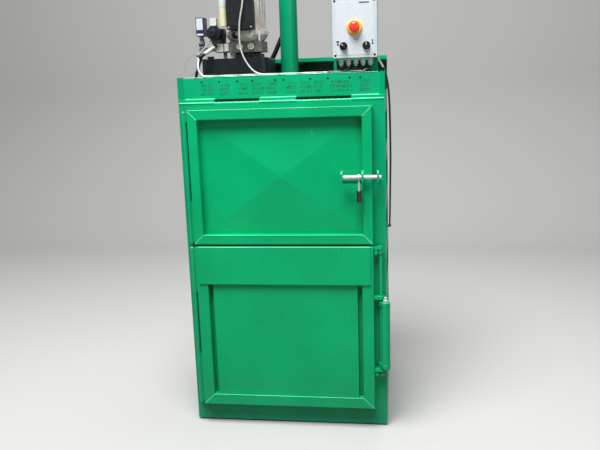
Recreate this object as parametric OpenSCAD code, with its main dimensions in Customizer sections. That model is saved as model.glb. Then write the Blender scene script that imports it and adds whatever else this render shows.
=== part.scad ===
// Upright recycling baler with two front doors and a hydraulic press on top.
// Frame: X to the right, Y into the depth, Z up. Origin: centre of the base plate's underside.

/* [Cabinet] */
// Width over the posts
body_w = 870; // [820:5:960]
// Depth from the front face of the posts to the rear face
body_d = 650; // [620:5:760]
// Thickness of the base plate
base_t = 8; // [5:1:12]
// How far the base plate stays inside the cabinet's edge
base_inset = 8; // [4:1:20]
// Height of the chamber floor above the ground
floor_h = 120; // [110:1:130]
// Thickness of the chamber floor
floor_t = 6; // [4:1:10]
// Height of the front frame's top ledge
frame_h = 1447; // [1430:1:1500]
// Width of a corner post seen from the front
post_w = 70; // [60:1:80]
// Depth of a corner post
post_d = 60; // [50:1:70]
// Wall of the posts and other box sections
post_t = 4; // [3:1:6]
// Thickness of the wall sheets
sheet_t = 4; // [3:1:6]
// Number of ribs on each wall
rib_count = 7; // [7:1:8]
// Height of one rib
rib_h = 60; // [40:1:70]
// Width of a strap slot in the floor
slot_w = 20; // [12:1:26]
// Distance between strap slots
slot_pitch = 180; // [140:5:200]

/* [Header and top] */
// Height of the lintel over the upper door's opening
lintel_h = 50; // [40:1:55]
// Shadow gap between the ledge and the header panel
header_gap = 15; // [10:1:20]
// Height of the header panel
header_h = 89; // [80:1:110]
// How far the header panel is set back behind the posts
header_set = 25; // [15:1:35]
// Depth of the header's folded top flange
header_flange = 40; // [35:1:50]
// Width of the slanted cheek at each end of the header panel
cheek_w = 21; // [15:1:30]
// How far the cheeks stand above the header panel
cheek_rise = 5; // [2:1:10]
// Diameter of the small holes along the header
header_hole_d = 5; // [3:0.5:7]
// Thickness of the top plate
top_t = 8; // [6:1:10]
// Height of the top plate's folded edge
top_fold = 28; // [24:1:34]
// Height of the rear cowl above the top plate
cowl_h = 161; // [120:1:200]
// Depth of the cowl's forward fold
cowl_fold = 42; // [30:1:60]
// Height of the lip on the cowl's fold
cowl_lip = 18; // [10:1:25]

/* [Doors] */
// Depth of the door tubes
door_t = 44; // [40:1:50]
// Gap between a closed door and the posts
door_gap = 1; // [0.5:0.5:2]
// Distance from the cabinet's left edge to the doors
hinge_margin = 44; // [42:1:50]
// Distance from the doors to the cabinet's right edge
lock_margin = 52; // [50:1:58]
// How far the lower door covers the sill
sill_cover = 22; // [15:1:28]
// Ledge left above the upper door
head_margin = 27; // [20:1:32]
// Height of the lower door
lower_door_h = 737; // [700:1:760]
// Gap between the two doors
door_between = 9; // [6:1:12]
// Face width of the upper door's tubes
upper_tube = 42; // [36:1:50]
// Face width of the lower door's tubes
lower_tube = 50; // [44:1:56]
// Wall of the door tubes
tube_wall = 3; // [2:0.5:4]
// Outer corner radius of the door tubes
tube_r = 5; // [3:0.5:7]
// Depth of the upper door's panel behind the tube faces
panel_recess = 38; // [30:1:40]
// Height of the cross-broken panel's apex
panel_rise = 18; // [8:1:24]
// Thickness of the door sheets
panel_t = 3; // [2:0.5:4]
// Depth of the lower door's pan behind the tube faces
pan_recess = 9; // [5:1:14]
// Width of the dark slots beside the pan
pan_slot = 20; // [14:1:26]
// Height of the band plate
band_h = 167; // [140:1:180]
// Thickness of the band plate
band_t = 5; // [3:0.5:8]
// How far the band plate stays inside the door's edge
band_inset = 13; // [8:1:20]

/* [Hinges] */
// Outer diameter of the knuckles
barrel_d = 20; // [18:0.5:22]
// Diameter of the hinge pins
pin_d = 12; // [10:0.5:13]
// Radial clearance of every pin, rod and shaft in its bore
fit = 0.05; // [0.02:0.01:0.09]
// Distance from the hinge axis to the doors' edge
hinge_out = 18; // [17:0.5:20]
// Gap between knuckles
knuckle_gap = 0.4; // [0.3:0.1:1]
// Thickness of the webs that carry the knuckles
web_t = 10; // [6:1:12]
// Length of the upper door's top knuckle
upper_knuckle_top = 42; // [30:1:60]
// Length of the upper door's low knuckle
upper_knuckle_low = 180; // [140:1:200]
// Length of the lower door's top knuckle
lower_knuckle_top = 200; // [150:1:220]
// Length of the lower door's low knuckle
lower_knuckle_low = 232; // [180:1:250]
// Distance of the outer knuckles from the door's ends
knuckle_end = 8; // [6:1:12]

/* [Slide bolt] */
// Diameter of the bolt rod
bolt_d = 18; // [14:0.5:19]
// Height of the bolt above the upper door's lower edge
bolt_up = 290; // [200:1:400]
// Distance of the bolt's axis in front of the tube faces
bolt_out = 25; // [22:1:30]
// Travel of the bolt
bolt_travel = 60; // [50:1:60]
// Thickness of the lugs
lug_t = 8; // [4:0.5:9]
// Height of the lugs
lug_h = 48; // [40:1:60]
// Diameter of the drop handle
drop_d = 8.5; // [7:0.5:10]
// Length of the drop handle between sleeve and grip
drop_len = 44; // [40:1:60]
// Diameter of the grip
grip_d = 23; // [18:0.5:23]
// Length of the grip
grip_len = 48; // [40:1:60]

/* [Door lock] */
// Diameter of the lock shaft
shaft_d = 14; // [12:0.5:15]
// Distance from the door's edge to the shaft's axis
shaft_out = 30; // [29:0.5:31]
// Diameter of the tube handle
handle_d = 37; // [34:0.5:38]
// Length of the tube handle between its crank plates
handle_len = 261; // [220:1:280]
// Distance from the shaft to the handle's axis along X
crank_x = 19; // [18:0.5:20]
// Distance from the shaft to the handle's axis along Y
crank_y = 20; // [19:0.5:21]
// Thickness of the crank plates
crank_t = 19; // [12:1:20]
// Height of the lower bracket above the door's lower edge
low_bracket_up = 174; // [170:1:200]
// Thickness of the brackets
bracket_t = 14; // [10:1:16]
// Length of the fingers on the shaft
finger_len = 21.5; // [20:0.5:22]
// Thickness of the fingers
finger_t = 8; // [6:0.5:8]

/* [Press] */
// Outer diameter of the cylinder tube
cyl_d = 80; // [70:1:86]
// Wall of the cylinder tube
cyl_wall = 6; // [4:0.5:8]
// Diameter of the piston rod
rod_d = 36; // [30:1:42]
// Stroke of the press
stroke = 560; // [480:5:560]
// Thickness of the mounting flange
flange_t = 16; // [12:1:20]
// Side of the square mounting flange
flange_w = 130; // [124:1:130]
// Diameter of the flange bolts
flange_bolt_d = 16; // [12:1:16]
// Height of the cylinder's top cap
cap_h = 34; // [28:1:40]
// Length of the piston
piston_h = 30; // [20:1:40]
// Distance from the front frame's ledge down to the platen's underside at rest
platen_drop = 109; // [106:1:118]
// Thickness of the platen's plate
platen_t = 12; // [8:1:14]
// Height of the ribs on the platen
platen_rib = 38; // [30:1:40]
// Gap between the platen and the chamber walls
platen_gap = 6; // [4:1:10]

/* [Power pack] */
// Width of the oil tank
tank_w = 297; // [260:1:300]
// Depth of the oil tank
tank_d = 230; // [200:1:240]
// Height of the oil tank
tank_h = 158; // [140:1:170]
// Edge radius of the oil tank
tank_r = 30; // [15:1:35]
// Diameter of the motor's ribs
motor_d = 168; // [150:1:180]
// Number of ribs around the motor
motor_ribs = 28; // [20:2:32]
// Length of the ribbed motor housing
motor_h = 190; // [160:1:220]
// Height of the fan cover
fan_cover_h = 60; // [45:1:70]
// Height of the valve block
block_h = 46; // [40:1:50]
// Height of the bell flange
bell_h = 42; // [36:1:50]

/* [Control box] */
// Width of the control box
box_w = 180; // [160:1:190]
// Height of the control box
box_h = 232; // [200:1:260]
// Depth of the control box with its cover
box_d = 110; // [90:1:120]
// Depth of the cover alone
cover_d = 28; // [20:1:36]
// Height of the box's underside above the top plate
box_up = 138; // [130:1:150]
// Edge radius of the box
box_r = 6; // [3:0.5:10]
// Diameter of the emergency stop's collar
collar_d = 60; // [50:1:64]
// Diameter of the emergency stop's button
button_d = 40; // [34:1:44]
// Travel of the emergency stop
button_travel = 5; // [3:0.5:6]
// Diameter of the selector knobs
knob_d = 28; // [24:1:30]
// Number of cable glands below the box
gland_count = 5; // [4:1:5]
// Distance between the glands
gland_pitch = 30; // [26:1:30]
// Diameter of the mains cord
cord_d = 9; // [7:0.5:9]

/* [Hidden] */
$fn = 48;
paint = [0.0, 0.58, 0.36];
dark_steel = [0.2, 0.21, 0.22];
zinc = [0.75, 0.76, 0.78];
cast = [0.66, 0.67, 0.66];
black_plastic = [0.08, 0.09, 0.1];
// Faces of the cabinet
x_r = body_w / 2;
y_f = -body_d / 2;
y_b = body_d / 2;
// Chamber's inner faces
ch_x = x_r - post_w;
ch_b = y_b - post_d;
post_h = frame_h - floor_h;
rib_pitch = (frame_h - floor_h - rib_h) / (rib_count - 1);
top_z = frame_h + top_fold;
header_z = frame_h + header_gap;
header_top = header_z + header_h;
header_y = y_f + header_set;
// Ends of the header's spacer tabs and places of its small holes
tab_x = [[-ch_x - 1, -280], [-87, 69], [297, ch_x + 1]];
hole_x = [-336, -260, -181, -117, -20, 15, 128, 201, 291, 335];
// Doors
door_l = -x_r + hinge_margin;
door_r = x_r - lock_margin;
door_back = y_f - door_gap;
door_face = door_back - door_t;
lower_z0 = floor_h - sill_cover;
lower_z1 = lower_z0 + lower_door_h;
upper_z0 = lower_z1 + door_between;
upper_z1 = frame_h - head_margin;
hinge_x = door_l - hinge_out;
hinge_y = door_back - door_t / 2;
// Knuckle joints of each door: top of the low knuckle and bottom of the top knuckle
upper_joint = [upper_z0 + knuckle_end + upper_knuckle_low, upper_z1 - knuckle_end - upper_knuckle_top];
lower_joint = [lower_z0 + knuckle_end + lower_knuckle_low, lower_z1 - knuckle_end - lower_knuckle_top];
// Slide bolt: the rod's axis, its ends and the middle of each lug
bolt_z = upper_z0 + bolt_up;
bolt_y = door_face - bolt_out;
keeper_x = x_r - 29;
bolt_x1 = keeper_x + 15;
stile_lug_x = door_r - upper_tube + 2;
sleeve_l = 10;
sleeve_r = bolt_d / 2 + 3;
drop_x = stile_lug_x - 15;
far_lug_x = drop_x - bolt_travel - sleeve_l / 2 - lug_t / 2 - 1;
bolt_x0 = far_lug_x - 3;
grip_top = bolt_z - sleeve_r - drop_len;
// Door lock: the shaft's axis and the handle's axis
shaft_x = door_r + shaft_out;
shaft_y = hinge_y - 2;
tube_x = shaft_x + crank_x;
tube_y = shaft_y - crank_y;
lower_crank_z = lower_z0 + low_bracket_up + bracket_t + 7;
upper_crank_z = lower_crank_z + crank_t + handle_len;
mid_bracket_z = upper_crank_z + crank_t + 10;
low_bracket_z = lower_z0 + low_bracket_up;
top_bracket_z = lower_z1 - bracket_t - 2;
finger_h = 14;
finger_z = [low_bracket_z - finger_h - 6, top_bracket_z - finger_h - 4];
// Press
platen_h = frame_h - platen_drop;
cyl_bore = cyl_d / 2 - cyl_wall;
gland_top = top_z + flange_t + 24;
piston_z = gland_top + 5 + stroke;
tube_top = piston_z + piston_h + 10;
platen_x = ch_x - platen_gap;
platen_top = platen_h + platen_t + platen_rib;
boss_top = platen_top + 8;
bolt_off = flange_w / 2 - 17;
// Power pack: the tank stands beside the cylinder's flange
tank_x = -flange_w / 2 - 3 - tank_w;
tank_y = -190;
tank_top = top_z + tank_h;
motor_x = tank_x + 197;
motor_y = tank_y + 80;
block_z = tank_top + 24;
block_top = block_z + block_h;
bell_top = block_top + bell_h;
motor_top = bell_top + motor_h;
coil_x = motor_x - 130;
coil_r = 29;
coil_z = block_top + 8 + coil_r;
// Control box
box_x0 = x_r - 210;
box_y0 = y_f + 20;
box_z0 = top_z + box_up;
box_back = box_y0 + box_d;
box_mid = box_x0 + box_w / 2;
estop_z = box_z0 + 119;
knob_z = box_z0 + 47;
knob_x = [box_mid - 46, box_mid + 47];
gland_x0 = box_mid - gland_pitch * (gland_count - 1) / 2;
gland_y = box_y0 + 42;
gland_len = 33;
cord_exit = [box_x0 + 160, box_back + 24, box_z0 + 24];
// Cables: the flange they lie on, each gland's row there and the grommets behind the header
flange_top = header_top + 0.2;
tail_y = [for (d = [39, 31.5, 23.8, 15, 5.2]) header_y + d];
grommet_x = [for (i = [0 : 2]) gland_x0 - 74 - 14 * i];
grommet_y = header_y + 64;
grommet_r = 6;
terminal_gland = [motor_x + 18, motor_y - motor_d / 2 - 27, bell_top + 156];
// Hose from the tank's rear outlet, behind the cylinder, to the cap's rear port: shares of the way
// in X, places in Y, and shares of the way up
hose_start = [motor_x + 8, tank_y + tank_d + 8, top_z + 45];
hose_end = [0, cyl_d / 2 + 22, tube_top + cap_h / 2];
hose_way = [[1, 68, 0], [0.98, 96, 0.016], [0.92, 110, 0.058], [0.81, 111, 0.11], [0.64, 104, 0.173],
    [0.51, 100, 0.231], [0.39, 100, 0.296], [0.2, 102, 0.4], [0.06, 105, 0.52], [0, 106, 0.64],
    [0, 106, 0.75], [0, 110, 0.865], [0, 108, 0.955]];
hose_points = [for (p = hose_way)
    [hose_start[0] * p[0], p[1], hose_start[2] + (hose_end[2] - hose_start[2]) * p[2]]];
// Mains cord: from the box's rear gland over the cabinet's edge, down its side, over the hook
// at the rear corner, down the rear wall and along the floor to the coil
hook_z = top_z - 692;
cord_over = [[0, 18, 0], [1.5, 37, -2.5], [7, 54, -10.5], [17, 65.5, -26], [30, 70, -47],
    [44, 71.5, -75], [56, 73, -115], [64, 77, -187], [67, 87, -277]];
cord_side = [[18, -387, 477], [18, -353, 377], [16, -301, 277], [14, -233, 182], [12, -157, 101],
    [10, -87, 43], [8.6, -47, 18], [8.2, -25, 8], [7.6, -12, 5.3], [5.6, 1.5, 1.3], [1, 13, -6.5],
    [-5.4, 21, -19], [-13, 24.5, -41], [-22, 23, -83], [-30, 19, -163], [-35, 16, -263]];
cord_low = [[-38, 16, 300], [-38, 18, 200], [-38, 21, 110], [-38, 22, 52], [-44, 22, 27.5],
    [-60.5, 22, 10.5], [-85, 22, 4.6], [-115, 22, 4.6], [-140.6, 22, 4.6]];
cord_points = concat([for (p = cord_over) cord_exit + p],
    [for (p = cord_side) [x_r, y_b, hook_z] + p], [for (p = cord_low) [x_r, y_b, 0] + p]);
// Coil: its centre, the radii of its outermost and innermost turn, its two layers and the tail
coil_mid = [x_r - 173, y_b + 79, 0];
coil_out = 57;
coil_in = 36.5;
coil_layers = 2;
tail_r = 54.7;
tail_z = cord_d * 1.5 - 0.3;
plug_x = coil_mid[0] + 68;

// Rectangle with rounded corners, drawn from its low corner
module round_rect(w, h, r) {
    translate([r, 0]) square([w - 2 * r, h]);
    translate([0, r]) square([w, h - 2 * r]);
    for (x = [r, w - r], y = [r, h - r]) translate([x, y]) circle(r);
}

// Box that spans two corners
module span(a, b) {
    translate(a) cube([b[0] - a[0], b[1] - a[1], b[2] - a[2]]);
}

// Upright cylinder between two heights
module rod_z(x, y, z0, z1, r) {
    translate([x, y, z0]) cylinder(r = r, h = z1 - z0);
}

// Cylinder along X between two places
module rod_x(y, z, x0, x1, r) {
    translate([x0, y, z]) rotate([0, 90, 0]) cylinder(r = r, h = x1 - x0);
}

// Cylinder along Y between two places
module rod_y(x, z, y0, y1, r) {
    translate([x, y0, z]) rotate([-90, 0, 0]) cylinder(r = r, h = y1 - y0);
}

// Extrusion along Y of a profile drawn in X and Z
module along_y(y0, y1) {
    translate([0, y1, 0]) rotate([90, 0, 0]) linear_extrude(y1 - y0) children();
}

// Smooth curve through the given points, with n steps in each stretch
function at(p, i) = p[max(0, min(len(p) - 1, i))];
function curve_point(a, b, c, d, t) =
    0.5 * (2 * b + (c - a) * t + (2 * a - 5 * b + 4 * c - d) * t * t + (3 * b - a - 3 * c + d) * t * t * t);
function curve(p, n) = [
    for (i = [0 : len(p) - 2], k = [0 : n - 1])
        curve_point(at(p, i - 1), p[i], p[i + 1], at(p, i + 2), k / n),
    p[len(p) - 1]];
// Route with a straight first and last stretch and a smooth curve between them
function route(p, n) = concat([p[0]], curve([for (i = [1 : len(p) - 2]) p[i]], n), [p[len(p) - 1]]);
function unit(v) = v / norm(v);
function tangent(p, i) = unit(at(p, i + 1) - at(p, i - 1));
function level(v, t) = unit(v - (v * t) * t);

// Round tube swept along a list of points, its ends square to the path
module swept_tube(p, d, side, sides = 10) {
    last = len(p) - 1;
    normals = [for (i = 0, n = level(side, tangent(p, 0)); i <= last;
        i = i + 1, n = i <= last ? level(n, tangent(p, i)) : n) n];
    rings = [for (i = [0 : last]) let (t = tangent(p, i), n = normals[i], m = cross(t, n))
        for (k = [0 : sides - 1]) p[i] + d / 2 * (cos(360 * k / sides) * n + sin(360 * k / sides) * m)];
    walls = [for (i = [0 : last - 1], k = [0 : sides - 1]) let (k2 = (k + 1) % sides)
        [i * sides + k, i * sides + k2, (i + 1) * sides + k2, (i + 1) * sides + k]];
    polyhedron(rings, concat([[for (k = [sides - 1 : -1 : 0]) k]],
        [[for (k = [0 : sides - 1]) last * sides + k]], walls), convexity = 6);
}

// Cabinet

module base_plate() {
    color(dark_steel)
        span([-x_r + base_inset, y_f + base_inset, 0], [x_r - base_inset, y_b - base_inset, base_t]);
}

module floor_pan() {
    color(paint) difference() {
        span([-x_r, y_f, base_t], [x_r, y_b, floor_h]);
        for (x = [[-x_r + post_t, -slot_pitch / 2 - post_t / 2],
            [-slot_pitch / 2 + post_t / 2, slot_pitch / 2 - post_t / 2],
            [slot_pitch / 2 + post_t / 2, x_r - post_t]])
            span([x[0], y_f + post_t, base_t - 1], [x[1], y_b - post_t, floor_h - floor_t]);
        for (i = [-1 : 1])
            span([i * slot_pitch - slot_w / 2, y_f + post_d, floor_h - floor_t - 1],
                [i * slot_pitch + slot_w / 2, ch_b - 40, floor_h + 1]);
    }
}

// Inner liner sheet with box ribs that reach the cabinet's outer face
module side_wall(s) {
    x_in = s * ch_x;
    module slab(a, b, y0, y1, z0, z1) {
        span([min(a, b), y0, z0], [max(a, b), y1, z1]);
    }
    color(paint) {
        slab(x_in, x_in + s * sheet_t, y_f + post_d, ch_b, floor_h, frame_h);
        for (i = [0 : rib_count - 1]) let (z = floor_h + i * rib_pitch) difference() {
            slab(x_in + s * sheet_t / 2, s * x_r, y_f + post_d, ch_b, z, z + rib_h);
            slab(x_in + s * sheet_t, s * (x_r - post_t), y_f + post_d - 1, ch_b + 1,
                z + post_t, z + rib_h - post_t);
        }
    }
}

module left_side_wall() { side_wall(-1); }

module right_side_wall() { side_wall(1); }

module rear_wall() {
    color(paint) {
        span([-ch_x - 1, ch_b, floor_h], [ch_x + 1, ch_b + sheet_t, frame_h]);
        for (s = [-1, 1]) translate([s * (x_r - post_w / 2), ch_b + post_d / 2, floor_h]) difference() {
            translate([-post_w / 2, -post_d / 2, 0]) cube([post_w, post_d, post_h]);
            translate([-post_w / 2 + post_t, -post_d / 2 + post_t, -1])
                cube([post_w - 2 * post_t, post_d - 2 * post_t, post_h + 2]);
        }
        for (i = [0 : rib_count - 1]) let (z = floor_h + i * rib_pitch) difference() {
            span([-ch_x - 1, ch_b + sheet_t / 2, z], [ch_x + 1, y_b, z + rib_h]);
            span([-ch_x, ch_b + sheet_t, z + post_t], [ch_x, y_b - post_t, z + rib_h - post_t]);
        }
        // Open hook that carries the mains cord at the rear corner
        span([x_r - 1, y_b - 24, hook_z - 4], [x_r + 16, y_b - 8, hook_z]);
        span([x_r + 13, y_b - 24, hook_z - 1], [x_r + 16, y_b - 8, hook_z + 10]);
    }
}

module front_post(s) {
    color(paint) translate([s * (x_r - post_w / 2), y_f + post_d / 2, floor_h]) difference() {
        translate([-post_w / 2, -post_d / 2, 0]) cube([post_w, post_d, post_h]);
        translate([-post_w / 2 + post_t, -post_d / 2 + post_t, -1])
            cube([post_w - 2 * post_t, post_d - 2 * post_t, post_h + 2]);
    }
}

module left_post() { front_post(-1); }

module right_post() { front_post(1); }

// Lintel, set-back panel with a folded top and slanted cheeks, feet on the posts and spacer tabs
module header_panel() {
    panel_x = x_r - cheek_w;
    color(paint) {
        difference() {
            span([-ch_x, y_f, frame_h - lintel_h], [ch_x, y_f + post_d, frame_h]);
            span([-ch_x - 1, y_f + post_t, frame_h - lintel_h + post_t],
                [ch_x + 1, y_f + post_d - post_t, frame_h - post_t]);
        }
        difference() {
            span([-panel_x - 1, header_y, header_z], [panel_x + 1, header_y + post_t, header_top]);
            for (x = hole_x)
                rod_y(x, header_top - 17, header_y - 1, header_y + post_t + 1, header_hole_d / 2);
        }
        span([-panel_x - 1, header_y + post_t - 1, header_top - post_t],
            [panel_x + 1, header_y + post_t + header_flange, header_top]);
        for (s = [-1, 1]) {
            span([s > 0 ? ch_x - 2 : -x_r, y_f, frame_h],
                [s > 0 ? x_r : 2 - ch_x, header_y + post_t, header_z + 1]);
            translate([0, 0, header_z]) linear_extrude(header_h + cheek_rise)
                polygon([[s * x_r, y_f], [s * panel_x, header_y], [s * panel_x, header_y + post_t],
                    [s * (panel_x + 2), header_y + post_t], [s * x_r, y_f + post_t + 2]]);
        }
        for (t = tab_x)
            span([t[0], y_f + 2, frame_h], [t[1], header_y + post_t, header_z + 1]);
    }
}

// Folded plate that carries the press, with stiffening ribs below
module top_plate() {
    y0 = header_y + post_t;
    rib_y = flange_w / 2 + 5;
    color(paint) difference() {
        span([-x_r, y0, frame_h], [x_r, y_b, top_z]);
        for (x = [-1, 1], y = [-1, 1]) {
            xa = x > 0 ? flange_w / 2 : -x_r + post_t;
            ya = y > 0 ? rib_y : y0 + post_t;
            span([xa, ya, frame_h - 1],
                [xa + x_r - post_t - flange_w / 2, y > 0 ? y_b - post_t : -rib_y, top_z - top_t]);
        }
        span([-flange_w / 2 + post_t, -rib_y + post_t, frame_h - 1],
            [flange_w / 2 - post_t, rib_y - post_t, top_z - top_t]);
        rod_z(0, 0, frame_h, top_z + 1, cyl_bore + 2);
        for (x = [-1, 1], y = [-1, 1])
            rod_z(x * bolt_off, y * bolt_off, frame_h, top_z + 1, flange_bolt_d / 2 + 0.5);
        for (x = grommet_x) rod_z(x, grommet_y, frame_h, top_z + 1, grommet_r);
    }
}

module rear_cowl() {
    color(paint) {
        span([-x_r, y_b - sheet_t, top_z], [x_r, y_b, top_z + cowl_h]);
        span([-x_r, y_b - cowl_fold, top_z + cowl_h - sheet_t], [x_r, y_b - 1, top_z + cowl_h]);
        span([-x_r, y_b - cowl_fold, top_z + cowl_h - cowl_lip],
            [x_r, y_b - cowl_fold + sheet_t, top_z + cowl_h - 1]);
    }
}

// Fixed barbs that hold the pressed bale down
module bale_hooks() {
    hook_top = platen_h - stroke - 24;
    color(paint) for (s = [-1, 1], y = [-150, 0, 150])
        translate([s * ch_x, y + 5, hook_top - 60]) rotate([90, 0, 0]) linear_extrude(10)
            polygon([[0, 0], [-s * 24, 52], [-s * 24, 60], [0, 60]]);
}

module platen_guides() {
    color(zinc) for (s = [-1, 1]) {
        x0 = s * ch_x;
        span([min(x0, x0 - s * 12), ch_b - 30, platen_h - stroke - 20],
            [max(x0, x0 - s * 12), ch_b, frame_h - 20]);
    }
}

// Hinges

module barrel(z0, z1) {
    rod_z(hinge_x, hinge_y, z0, z1, barrel_d / 2);
}

module fixed_knuckle(z0, z1) {
    difference() {
        union() {
            barrel(z0, z1);
            span([hinge_x - web_t / 2, hinge_y, z0], [hinge_x + web_t / 2, y_f, z1]);
        }
        rod_z(hinge_x, hinge_y, z0 - 1, z1 + 1, pin_d / 2 + fit);
    }
}

module door_knuckle(z0, z1) {
    difference() {
        union() {
            barrel(z0, z1);
            span([hinge_x, hinge_y - web_t / 2, z0], [door_l, hinge_y + web_t / 2, z1]);
        }
        rod_z(hinge_x, hinge_y, z0 - 1, z1 + 1, pin_d / 2 + fit);
    }
}

module fixed_knuckles() {
    color(paint) for (j = [upper_joint, lower_joint])
        fixed_knuckle(j[0] + knuckle_gap, j[1] - knuckle_gap);
}

module upper_door_knuckles() {
    color(paint) {
        door_knuckle(upper_z0 + knuckle_end, upper_joint[0]);
        door_knuckle(upper_joint[1], upper_z1 - knuckle_end);
    }
}

module lower_door_knuckles() {
    color(paint) {
        door_knuckle(lower_z0 + knuckle_end, lower_joint[0]);
        door_knuckle(lower_joint[1], lower_z1 - knuckle_end);
    }
}

module hinge_pins() {
    color(zinc) for (z = [[lower_z0, lower_z1], [upper_z0, upper_z1]])
        rod_z(hinge_x, hinge_y, z[0] + knuckle_end - 3, z[1] - knuckle_end + 3, pin_d / 2);
}

// Doors

// Mitred frame of four hollow tubes between two corners
module mitred_frame(z0, z1, tube) {
    module member(len, hollow) {
        wall = hollow ? tube_wall : 0;
        r = hollow ? tube_r - 2 : tube_r;
        intersection() {
            rotate([90, 0, 90]) linear_extrude(len) translate([wall, wall])
                round_rect(door_t - 2 * wall, tube - 2 * wall, r);
            rotate([90, 0, 0]) translate([0, 0, -door_t - 1]) linear_extrude(door_t + 2)
                polygon([[0, 0], [len, 0], [len - tube, tube], [tube, tube]]);
        }
    }
    module ring(hollow) {
        w = door_r - door_l;
        h = z1 - z0;
        translate([door_l, door_face, z0]) member(w, hollow);
        translate([door_r, door_face, z1]) rotate([0, 180, 0]) member(w, hollow);
        translate([door_r, door_face, z0]) rotate([0, -90, 0]) member(h, hollow);
        translate([door_l, door_face, z1]) rotate([0, 90, 0]) member(h, hollow);
    }
    difference() {
        ring(false);
        ring(true);
        for (x = [door_l + 120, door_r - 120]) rod_z(x, door_face + door_t / 2, z0 - 1, z0 + tube / 2, 4);
    }
}

module upper_door_frame() {
    color(paint) mitred_frame(upper_z0, upper_z1, upper_tube);
}

module lower_door_frame() {
    color(paint) mitred_frame(lower_z0, lower_z1, lower_tube);
}

// Sheet broken across both diagonals into a shallow pyramid
module upper_door_panel() {
    x0 = door_l + upper_tube;
    x1 = door_r - upper_tube;
    z0 = upper_z0 + upper_tube;
    z1 = upper_z1 - upper_tube;
    y0 = door_face + panel_recess;
    module pyramid(y) {
        intersection() {
            translate([0, 0, z0]) linear_extrude(z1 - z0)
                polygon([[x0, y + 20], [x0, y], [(x0 + x1) / 2, y - panel_rise], [x1, y], [x1, y + 20]]);
            translate([x0, 0, 0]) rotate([90, 0, 90]) linear_extrude(x1 - x0)
                polygon([[y + 20, z0], [y, z0], [y - panel_rise, (z0 + z1) / 2], [y, z1], [y + 20, z1]]);
        }
    }
    color(paint) difference() {
        pyramid(y0);
        translate([0, panel_t, 0]) pyramid(y0);
    }
}

// Folded pan between the tubes, closed to the front and open to the chamber
module lower_door_panel() {
    x0 = door_l + lower_tube;
    x1 = door_r - lower_tube;
    y1 = door_back - 2;
    yf = door_face + pan_recess;
    color(paint) translate([0, 0, lower_z0 + lower_tube]) linear_extrude(lower_door_h - 2 * lower_tube)
        polygon([[x0, y1], [x0, y1 - panel_t], [x0 + pan_slot, y1 - panel_t], [x0 + pan_slot, yf],
            [x1 - pan_slot, yf], [x1 - pan_slot, y1 - panel_t], [x1, y1 - panel_t], [x1, y1],
            [x1 - pan_slot - panel_t, y1], [x1 - pan_slot - panel_t, yf + panel_t],
            [x0 + pan_slot + panel_t, yf + panel_t], [x0 + pan_slot + panel_t, y1]]);
}

module band_plate() {
    color(paint) span([door_l + band_inset, door_face - band_t, lower_z1 - band_h],
        [door_r - band_inset, door_face, lower_z1 - 1]);
}

// Slide bolt

// Lug with a sloping top and a bore for the bolt
module lug(x, y_foot) {
    difference() {
        translate([x - lug_t / 2, 0, 0]) rotate([90, 0, 90]) linear_extrude(lug_t)
            polygon([[y_foot, bolt_z - 20], [bolt_y - 14, bolt_z - 20], [bolt_y - 14, bolt_z + 14],
                [bolt_y - 4, bolt_z + lug_h - 20], [y_foot, bolt_z + 12]]);
        rod_x(bolt_y, bolt_z, x - lug_t, x + lug_t, bolt_d / 2 + fit);
    }
}

module bolt_bracket() {
    bar_y = bolt_y + 11;
    color(paint) {
        lug(stile_lug_x, door_face);
        lug(far_lug_x, bar_y + 10);
        span([far_lug_x, bar_y, bolt_z - 27], [stile_lug_x, bar_y + 10, bolt_z - 15]);
    }
}

module bolt_rod() {
    color(zinc) {
        rod_x(bolt_y, bolt_z, bolt_x0, bolt_x1 - 4, bolt_d / 2);
        translate([bolt_x1 - 4, bolt_y, bolt_z]) rotate([0, 90, 0])
            cylinder(r1 = bolt_d / 2, r2 = bolt_d / 2 - 3, h = 4);
    }
}

module bolt_handle() {
    color(zinc) difference() {
        union() {
            rod_x(bolt_y, bolt_z, drop_x - sleeve_l / 2, drop_x + sleeve_l / 2, sleeve_r);
            rod_z(drop_x, bolt_y, grip_top - grip_len + 6, bolt_z - bolt_d / 2 - 1, drop_d / 2);
        }
        rod_x(bolt_y, bolt_z, drop_x - sleeve_l, drop_x + sleeve_l, bolt_d / 2 + fit);
    }
}

module bolt_grip() {
    color(black_plastic) difference() {
        translate([drop_x, bolt_y, grip_top]) rotate([180, 0, 0]) rotate_extrude()
            polygon([[0, 0], [grip_d / 2 - 2, 0], [grip_d / 2, 3], [grip_d / 2 - 1.5, grip_len / 2],
                [grip_d / 2, grip_len - 4], [grip_d / 2 - 3, grip_len], [0, grip_len]]);
        rod_z(drop_x, bolt_y, grip_top - grip_len + 6, grip_top + 1, drop_d / 2 + fit);
    }
}

// Door lock

module lock_brackets() {
    color(paint) for (b = [[low_bracket_z, 16], [mid_bracket_z, 16], [top_bracket_z, 10]]) difference() {
        union() {
            span([door_r, shaft_y - b[1] + 1, b[0]], [shaft_x, shaft_y + b[1] - 1, b[0] + bracket_t]);
            rod_z(shaft_x, shaft_y, b[0], b[0] + bracket_t, b[1] - 1);
        }
        rod_z(shaft_x, shaft_y, b[0] - 1, b[0] + bracket_t + 1, shaft_d / 2 + fit);
    }
}

// Vertical shaft with a collar at its foot and two fingers that point to the hinge side
module lock_shaft() {
    color(paint) {
        rod_z(shaft_x, shaft_y, finger_z[0], lower_z1 + 2, shaft_d / 2);
        for (z = finger_z) {
            rod_z(shaft_x, shaft_y, z, z + finger_h, shaft_d / 2 + 3);
            span([shaft_x - finger_len, shaft_y - finger_t / 2, z],
                [shaft_x, shaft_y + finger_t / 2, z + finger_h]);
        }
    }
}

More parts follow.
